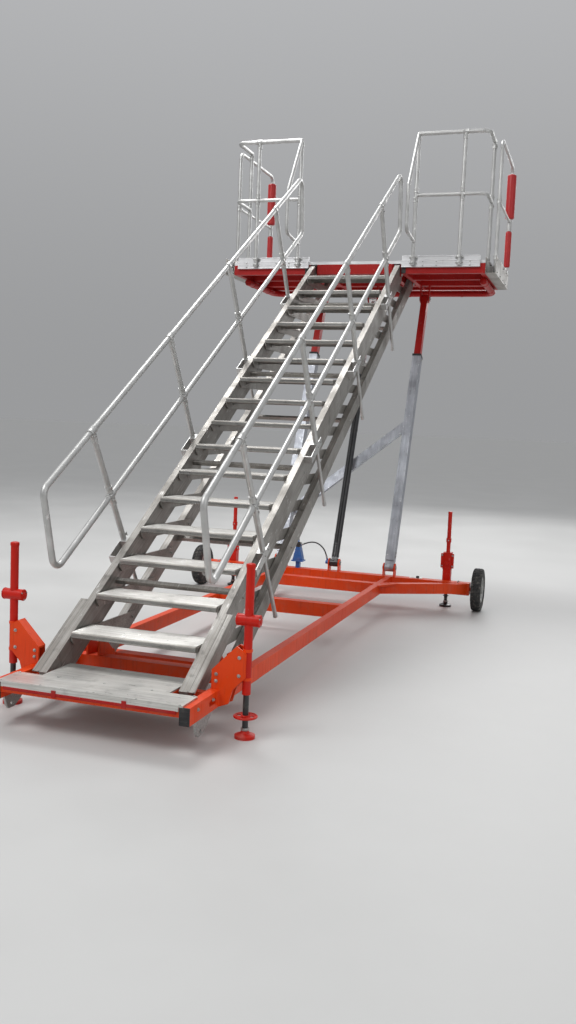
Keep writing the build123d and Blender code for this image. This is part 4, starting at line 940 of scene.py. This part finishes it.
# Bumper tube: saddle clips that hang it from the frame, each an arc under the tube, and end plugs
bumper = {
    "x": 1.30, "y": deckBack + 0.024, "z": deckZ - 0.1663, "radius": 0.0375, "clip": rounded(0.003, 0.030, 0.001, 3),
    "clipX": (0.35, 0.95), "clipBack": (0.45, 0.95), "end": 0.30,
    "plug": [(0, -0.01), (0.037, -0.01), (0.0375, -0.002), (0.034, 0.008), (0.020, 0.014), (0, 0.015)],
}
arc = np.linspace(-0.15 * pi, 1.15 * pi, 16)
across, z = bumper["radius"] * np.cos(arc), bumper["z"] - bumper["radius"] * np.sin(arc)
clips = [carried(bumper["clip"], stacked(x, bumper["y"] + across, z), alongX) for x in bumper["clipX"]]
clips += [carried(bumper["clip"], stacked(bumper["x"] + across, deckY + y, z), alongY) for y in bumper["clipBack"]]
makePiece("bumperClips", bothHands(clips), "platform", "red_paint")
bumperEnd = turned(bumper["plug"], (bumper["x"], deckY + bumper["end"], bumper["z"]), toFront)
makePiece("bumperPlugs", bothHands([bumperEnd]), "platform", "red_paint")

# Side guides: edge beading along the open tops, and cap nuts through the outer plates
guide = {
    "beads": ((1.353, 0.030), (1.452, 0.046)), "bead": rounded(0.010, 0.006, 0.0025), "inset": 0.012, "nutX": 1.4552,
    "nutBack": (0.12, 0.40, 0.68, 0.96, 1.12), "nutRise": (-0.105, 0.015), "nutSize": 0.007,
}
front, back = deckY + guide["inset"], deckBack - guide["inset"]
guideShapes = [levelBar(guide["bead"], x, front, back, deckZ + rise) for x, rise in guide["beads"]]
makePiece("guideBeading", bothHands(guideShapes), "platform", "deck_aluminium")
spots = [(deckY + back, deckZ + rise) for back in guide["nutBack"] for rise in guide["nutRise"]]
makePiece("guideBolts", bothHands(domeNuts(guide["nutSize"], facingX(guide["nutX"], spots))), "platform", "steel")

# Sliding guards: collars at the rail joints, with screws in the front post's two, and rollers on the bottom bar.
# Collars: tube radius, length, distance back, rise, axis and wall
slide = {
    "x": 1.42, "screwX": 1.3965, "screwSize": 0.0052, "rollerBack": (0.31, 0.62, 0.94), "rollerZ": deckZ - 0.1097,
    "roller": [(0.0142, 0.014), (0.0182, 0.014), (0.0196, 0.010)],
    "collars": [
        (0.019, 0.046, 0.25, 0.63, alongZ, 0.0045), (0.019, 0.046, 0.25, 0.065, alongZ, 0.0045),
        (0.016, 0.040, 0.29, 0.63, alongY, 0.005), (0.016, 0.044, 1.0, 0.030, alongZ, 0.0045),
        (0.016, 0.040, 0.292, 0.065, alongY, 0.005),
    ],
}
collars = [
    collar(radius, length, (slide["x"], deckY + back, deckZ + rise), axis, wall)
    for radius, length, back, rise, axis, wall in slide["collars"]
]
rollers = [(slide["x"], deckY + back, slide["rollerZ"]) for back in slide["rollerBack"]]
rollers = [hoop(slide["roller"], place, alongY, 28) for place in rollers]
screwSpots = [(deckY + back, deckZ + rise + 0.012) for _, _, back, rise, _, _ in slide["collars"][:2]]
screws = hexBolts(slide["screwSize"], facingX(slide["screwX"], screwSpots, -1))
slideSets = {
    "slideFittings_": (collars, "tube_aluminium"), "slideRings_": (rollers, "black_rubber"),
    "slideScrews_": (screws, "steel"),
}
for side, sign in signs:
    for name, (shapes, slotName) in slideSets.items():
        placed = [(points * (sign, 1, 1), faces) for points, faces in shapes]
        makePiece(name + side, placed, "slide_guard_" + side, slotName)

# Padded sleeves: r = radius (crown tuck + folds - seam), a soft barrel with tucked ends and a seam down one side.
# Parts: how far above the deck, height and radius
pads = {
    "back": 1.3, "parts": ((0.66, 0.49, 0.050), (0.13, 0.40, 0.034)), "around": 64, "rows": 96, "core": 0.0196,
    "tuckDepth": 0.42, "tuckReach": 0.018, "foldDepth": 0.010, "waveDepth": 0.004, "seamDepth": 0.045,
    "seamWidth": 0.07,
}


def padShape(spec, x, y, low, height, radius):
    h = np.linspace(0, 1, spec["rows"])[:, None]
    turn = turns(spec["around"])
    edge = np.minimum(h, 1 - h) * height
    tuck = 1 - spec["tuckDepth"] * np.clip(1 - edge / spec["tuckReach"], 0, 1) ** 2.4
    crown = 0.965 + 0.03 * np.sin(pi * h) ** 0.5
    folds = spec["foldDepth"] * np.exp(-edge / 0.05) * np.cos(11 * turn + 3 * h)
    folds = folds + spec["waveDepth"] * np.sin(5 * turn + 16 * h)
    seam = spec["seamDepth"] * np.exp(-(np.minimum(turn, 2 * pi - turn) / spec["seamWidth"]) ** 2)
    r = np.vstack((radius * (crown * tuck + folds - seam), np.full((2, len(turn)), spec["core"])))
    z = np.vstack((low + h * height, (low + height,), (low,)))
    points = stacked(x + r * np.cos(turn), y + r * np.sin(turn), z)
    return points.reshape(-1, 3), [gridFaces(len(z), spec["around"], True)]


for side, sign in signs:
    post = (sign * slide["x"], deckY + pads["back"])
    shapes = [padShape(pads, *post, deckZ + low, height, radius) for low, height, radius in pads["parts"]]
    padPiece = makePiece("padSleeve_" + side, shapes, "slide_guard_" + side, "red_pad")
    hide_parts("pad_sleeve_" + side)
print("platform done")

# Telescopic legs: a black guide block round each mouth, drawn lines along the faces, and bolts
leg = {
    "x": 0.59, "mouth": 2.40, "half": 0.045,
    "outer": rounded(0.098, 0.118, 0.006), "inner": rounded(0.0705, 0.0905, 0.003),
    "lines": (-0.035, 0.0, 0.035), "line": rounded(0.0015, 0.010, 0.0006, 3), "boltSize": 0.009,
    "braces": ((-0.59, 0.545), (0.59, 1.645)), "braceFace": -0.0952,
}
start, end = leg["mouth"] - 0.016, leg["mouth"] + 0.006
rows = zip((leg["outer"], leg["outer"], leg["inner"], leg["inner"]), (start, end, end, start))
loops = [np.array(onLeg(distance, 0.0, leg["x"])) + line @ np.array((alongX, legUp)) for line, distance in rows]
mouths = [(np.vstack(loops), [gridFaces(4, len(leg["outer"]), True)])]
legBolts, legRibs = [], []
for s in bothSides:
    faceX, boltX = (leg["x"] + s * (leg["half"] + out) for out in (0.0003, 0.001))
    for offset in leg["lines"]:
        lineEnds = (onLeg(distance, offset, faceX) for distance in (0.10, leg["mouth"] - 0.018))
        legRibs.append(strut(leg["line"], *lineEnds, legUp))
    legBolts += [(onLeg(distance, 0.0, boltX), (s, 0, 0)) for distance in (0.12, 0.16, leg["mouth"] - 0.05)]
braceBolts = [
    (onLeg(distance + s * 0.025, leg["braceFace"], x), -legUp) for x, distance in leg["braces"] for s in bothSides
]
legBolts = bothHands(hexBolts(leg["boltSize"], legBolts)) + hexBolts(leg["boltSize"], braceBolts)
makePiece("legMouths", bothHands(mouths), "legs", "black_rubber")
makePiece("legRibs", bothHands(legRibs), "legs", "tube_aluminium", "leg_aluminium")
makePiece("legBolts", legBolts, "legs", "steel")

# Lift cylinder: a gland nut with a wiper lip, two ports, bands and a steel pipe between the ports
cylinder = {
    "mouth": 2.30, "radius": 0.038, "ports": (0.20, 2.18), "bands": (0.30, 0.90, 1.50, 2.10), "pipe": ring(0.0055, 12),
    "gland": [
        (0.0232, -0.05), (0.0425, -0.05), (0.044, -0.046), (0.044, -0.012), (0.0415, -0.010), (0.0415, 0.002),
        (0.034, 0.008), (0.030, 0.014), (0.0232, 0.014),
    ],
    "band": [(0.0375, 0.012), (0.0398, 0.011)],
    "port": [(0, -0.012), (0.013, -0.012), (0.013, 0.010), (0.010, 0.013), (0, 0.013)],
    "pipePath": [(0.20, 0.045), (0.215, 0.052), (0.24, 0.054), (2.14, 0.054), (2.165, 0.052), (2.18, 0.045)],
}
gland = turned(cylinder["gland"], onLeg(cylinder["mouth"]), legAhead, 48, True)
makePiece("cylinderGland", [gland], "barrel", "steel")
pipework = [carried(cylinder["pipe"], [onLeg(*place) for place in cylinder["pipePath"]], alongX)]
pipework += [hoop(cylinder["band"], onLeg(distance), legAhead, 40) for distance in cylinder["bands"]]
for distance in cylinder["ports"]:
    pipework.append(turned(cylinder["port"], onLeg(distance, cylinder["radius"]), legUp, 20))
makePiece("cylinderPipe", pipework, "barrel", "black_paint")
print("lift done")

# Hand pump: filler cap, cover of the head, bands round the tank, and a ribbed grip on the lever
pump = {
    "x": -0.398, "headLow": 0.499, "headTop": 0.540, "head": rounded(0.044, 0.086, 0.006),
    "leverFoot": (-0.398, beamY, 0.524), "leverTip": (-0.448, beamY + 0.120, 0.575), "gripLength": 0.068,
    "cap": [(0, -0.003), (0.014, -0.003), (0.014, 0.008), (0.012, 0.011), (0, 0.012)],
    "crimps": [(0.0125 + 0.0015 * (k % 2), 0.004 + 0.006 * k) for k in range(11)],
    "bands": ((0.372, 0.106), (0.420, 0.084), (0.470, 0.062)),  # height of the middle, depth
}
tip, lever = np.array(pump["leverTip"]), np.subtract(pump["leverTip"], pump["leverFoot"])
lever /= np.linalg.norm(lever)
grip = [(0, 0.0), (0.0125, 0.0), *pump["crimps"], (0.012, 0.072), (0, 0.074)]
pumpCap = turned(pump["cap"], (pump["x"], beamY, pump["headTop"]), count=20)
makePiece("pumpBlacks", [pumpCap, turned(grip, tip - pump["gripLength"] * lever, lever)], "chassis", "black_rubber")
headCover = uprightBar(pump["head"], pump["x"], beamY, pump["headLow"], pump["headTop"] + 0.0005)
makePiece("pumpHead", [headCover], "chassis", "black_paint")
tankBands = [uprightBar(rounded(w, 0.086, 0.006), pump["x"], beamY, z - 0.003, z + 0.003) for z, w in pump["bands"]]
makePiece("pumpBands", tankBands, "chassis", "blue_paint")

# Pump hose: the CAD tube's route as the control points of one smooth spline, with a crimped ferrule at each end
hoseRoute = [(-0.368, 0.520), (-0.298, 0.553), (-0.213, 0.561), (-0.143, 0.523), (-0.099, 0.462), (-0.082, 0.400)]
hosePoints = [(x, beamY, z) for x, z in hoseRoute]
hoseLine = bpy.data.curves.new("pumpHose", "CURVE")
hoseLine.dimensions = "3D"
hoseLine.bevel_depth = 0.007
hoseLine.bevel_resolution = 6
hoseLine.use_fill_caps = True
hoseSpline = hoseLine.splines.new("NURBS")
hoseSpline.points.add(len(hosePoints) - 1)
for control, place in zip(hoseSpline.points, hosePoints):
    control.co = (*place, 1.0)
hoseSpline.order_u = 3
hoseSpline.use_endpoint_u = True
hoseSpline.resolution_u = 12
hoseLine.materials.append(materials["black_rubber"])
hose = bpy.data.objects.new("pumpHose", hoseLine)
bpy.context.scene.collection.objects.link(hose)
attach(hose, "chassis")
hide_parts("pump_hose")
crimps = [(0.0095 - 0.0009 * (k % 2), 0.003 + 0.0035 * k) for k in range(7)]
ferruleLine = [(0, -0.001), (0.0095, -0.001), *crimps, (0.0072, 0.0265), (0, 0.0265)]
hoseEnds = [
    turned(ferruleLine, here, np.subtract(after, here), 20) for here, after in (hosePoints[:2], hosePoints[:-3:-1])
]
ferrules = makePiece("hoseFerrules", hoseEnds, "chassis", "steel")

# Bull's-eye level on the beam's top: a pale plate with bevelled edges, and a dark round housing with a rim
level = {
    "near": 0.808, "far": 0.932, "eyeX": 0.888, "plate": rounded(0.034, 0.007, 0.002),
    "eye": [
        (0, 0.004), (0.0165, 0.004), (0.0165, 0.012), (0.0155, 0.020), (0.0135, 0.023), (0.0115, 0.023),
        (0.0105, 0.021), (0, 0.0225),
    ],
}
levelPlate = acrossBar(level["plate"], beamY, chassis["beamTop"] + 0.0025, level["near"], level["far"])
makePiece("levelPlate", [levelPlate], "chassis", "tread_aluminium")
levelEye = turned(level["eye"], (level["eyeX"], beamY, chassis["beamTop"]), count=28)
makePiece("levelEye", [levelEye], "chassis", "black_rubber")
print("details done")

floorMesh = bpy.data.meshes.new("floor")
floorMesh.from_pydata([(-400, -400, 0), (400, -400, 0), (400, 400, 0), (-400, 400, 0)], [], [(0, 1, 2, 3)])
floor = bpy.data.objects.new("floor", floorMesh)
bpy.context.scene.collection.objects.link(floor)
floorPaint = Paint("floor", 0.55)
cloudy = floorPaint.noise(0.8, 4.0).rise(0.3, 0.7)
floorPaint.put(Base_Color=floorPaint.mix(cloudy, (0.54, 0.54, 0.53), (0.58, 0.58, 0.57)), Roughness=0.5 + cloudy * 0.1)
floorMesh.materials.append(floorPaint.material)

# The studio's light grows from the horizon up, so the floor's far edge meets it softly
studio = {"From Min": 0.0, "From Max": 0.7, "To Min": 0.36, "To Max": 0.62}
world = bpy.data.worlds.new("studio")
world.use_nodes = True
tree = world.node_tree
upward = tree.nodes.new("ShaderNodeSeparateXYZ")
grading = tree.nodes.new("ShaderNodeMapRange")
grading.interpolation_type = "SMOOTHSTEP"
for key, value in studio.items():
    grading.inputs[key].default_value = value
tree.links.new(tree.nodes.new("ShaderNodeTexCoord").outputs["Generated"], upward.inputs["Vector"])
tree.links.new(upward.outputs["Z"], grading.inputs["Value"])
tree.links.new(grading.outputs["Result"], tree.nodes["Background"].inputs["Strength"])
tree.nodes["Background"].inputs["Color"].default_value = (0.90, 0.91, 0.93, 1.0)
bpy.context.scene.world = world
bpy.context.scene.view_settings.view_transform = "Standard"

# Lamps: name, place, what it points at, size and power
lampTable = [
    ("key", (-4.0, -7.0, 9.0), (0.0, 0.0, 1.0), 5.0, 420.0),
    ("top", (-3.0, 3.0, 10.0), (0.0, 0.0, 1.5), 4.0, 430.0),
    ("fill", (8.0, -5.0, 5.0), (0.0, 0.0, 1.5), 7.0, 120.0),
    ("back", (1.0, 11.0, 7.0), (0.0, 0.0, 1.5), 7.0, 420.0),
]
for name, place, target, size, power in lampTable:
    lampData = bpy.data.lights.new(name, "AREA")
    lampData.shape = "DISK"
    lampData.size = size
    lampData.energy = power
    lamp = bpy.data.objects.new(name, lampData)
    lamp.location = place
    lamp.rotation_euler = (Vector(target) - Vector(place)).to_track_quat("-Z", "Y").to_euler()
    bpy.context.scene.collection.objects.link(lamp)
print("studio done")
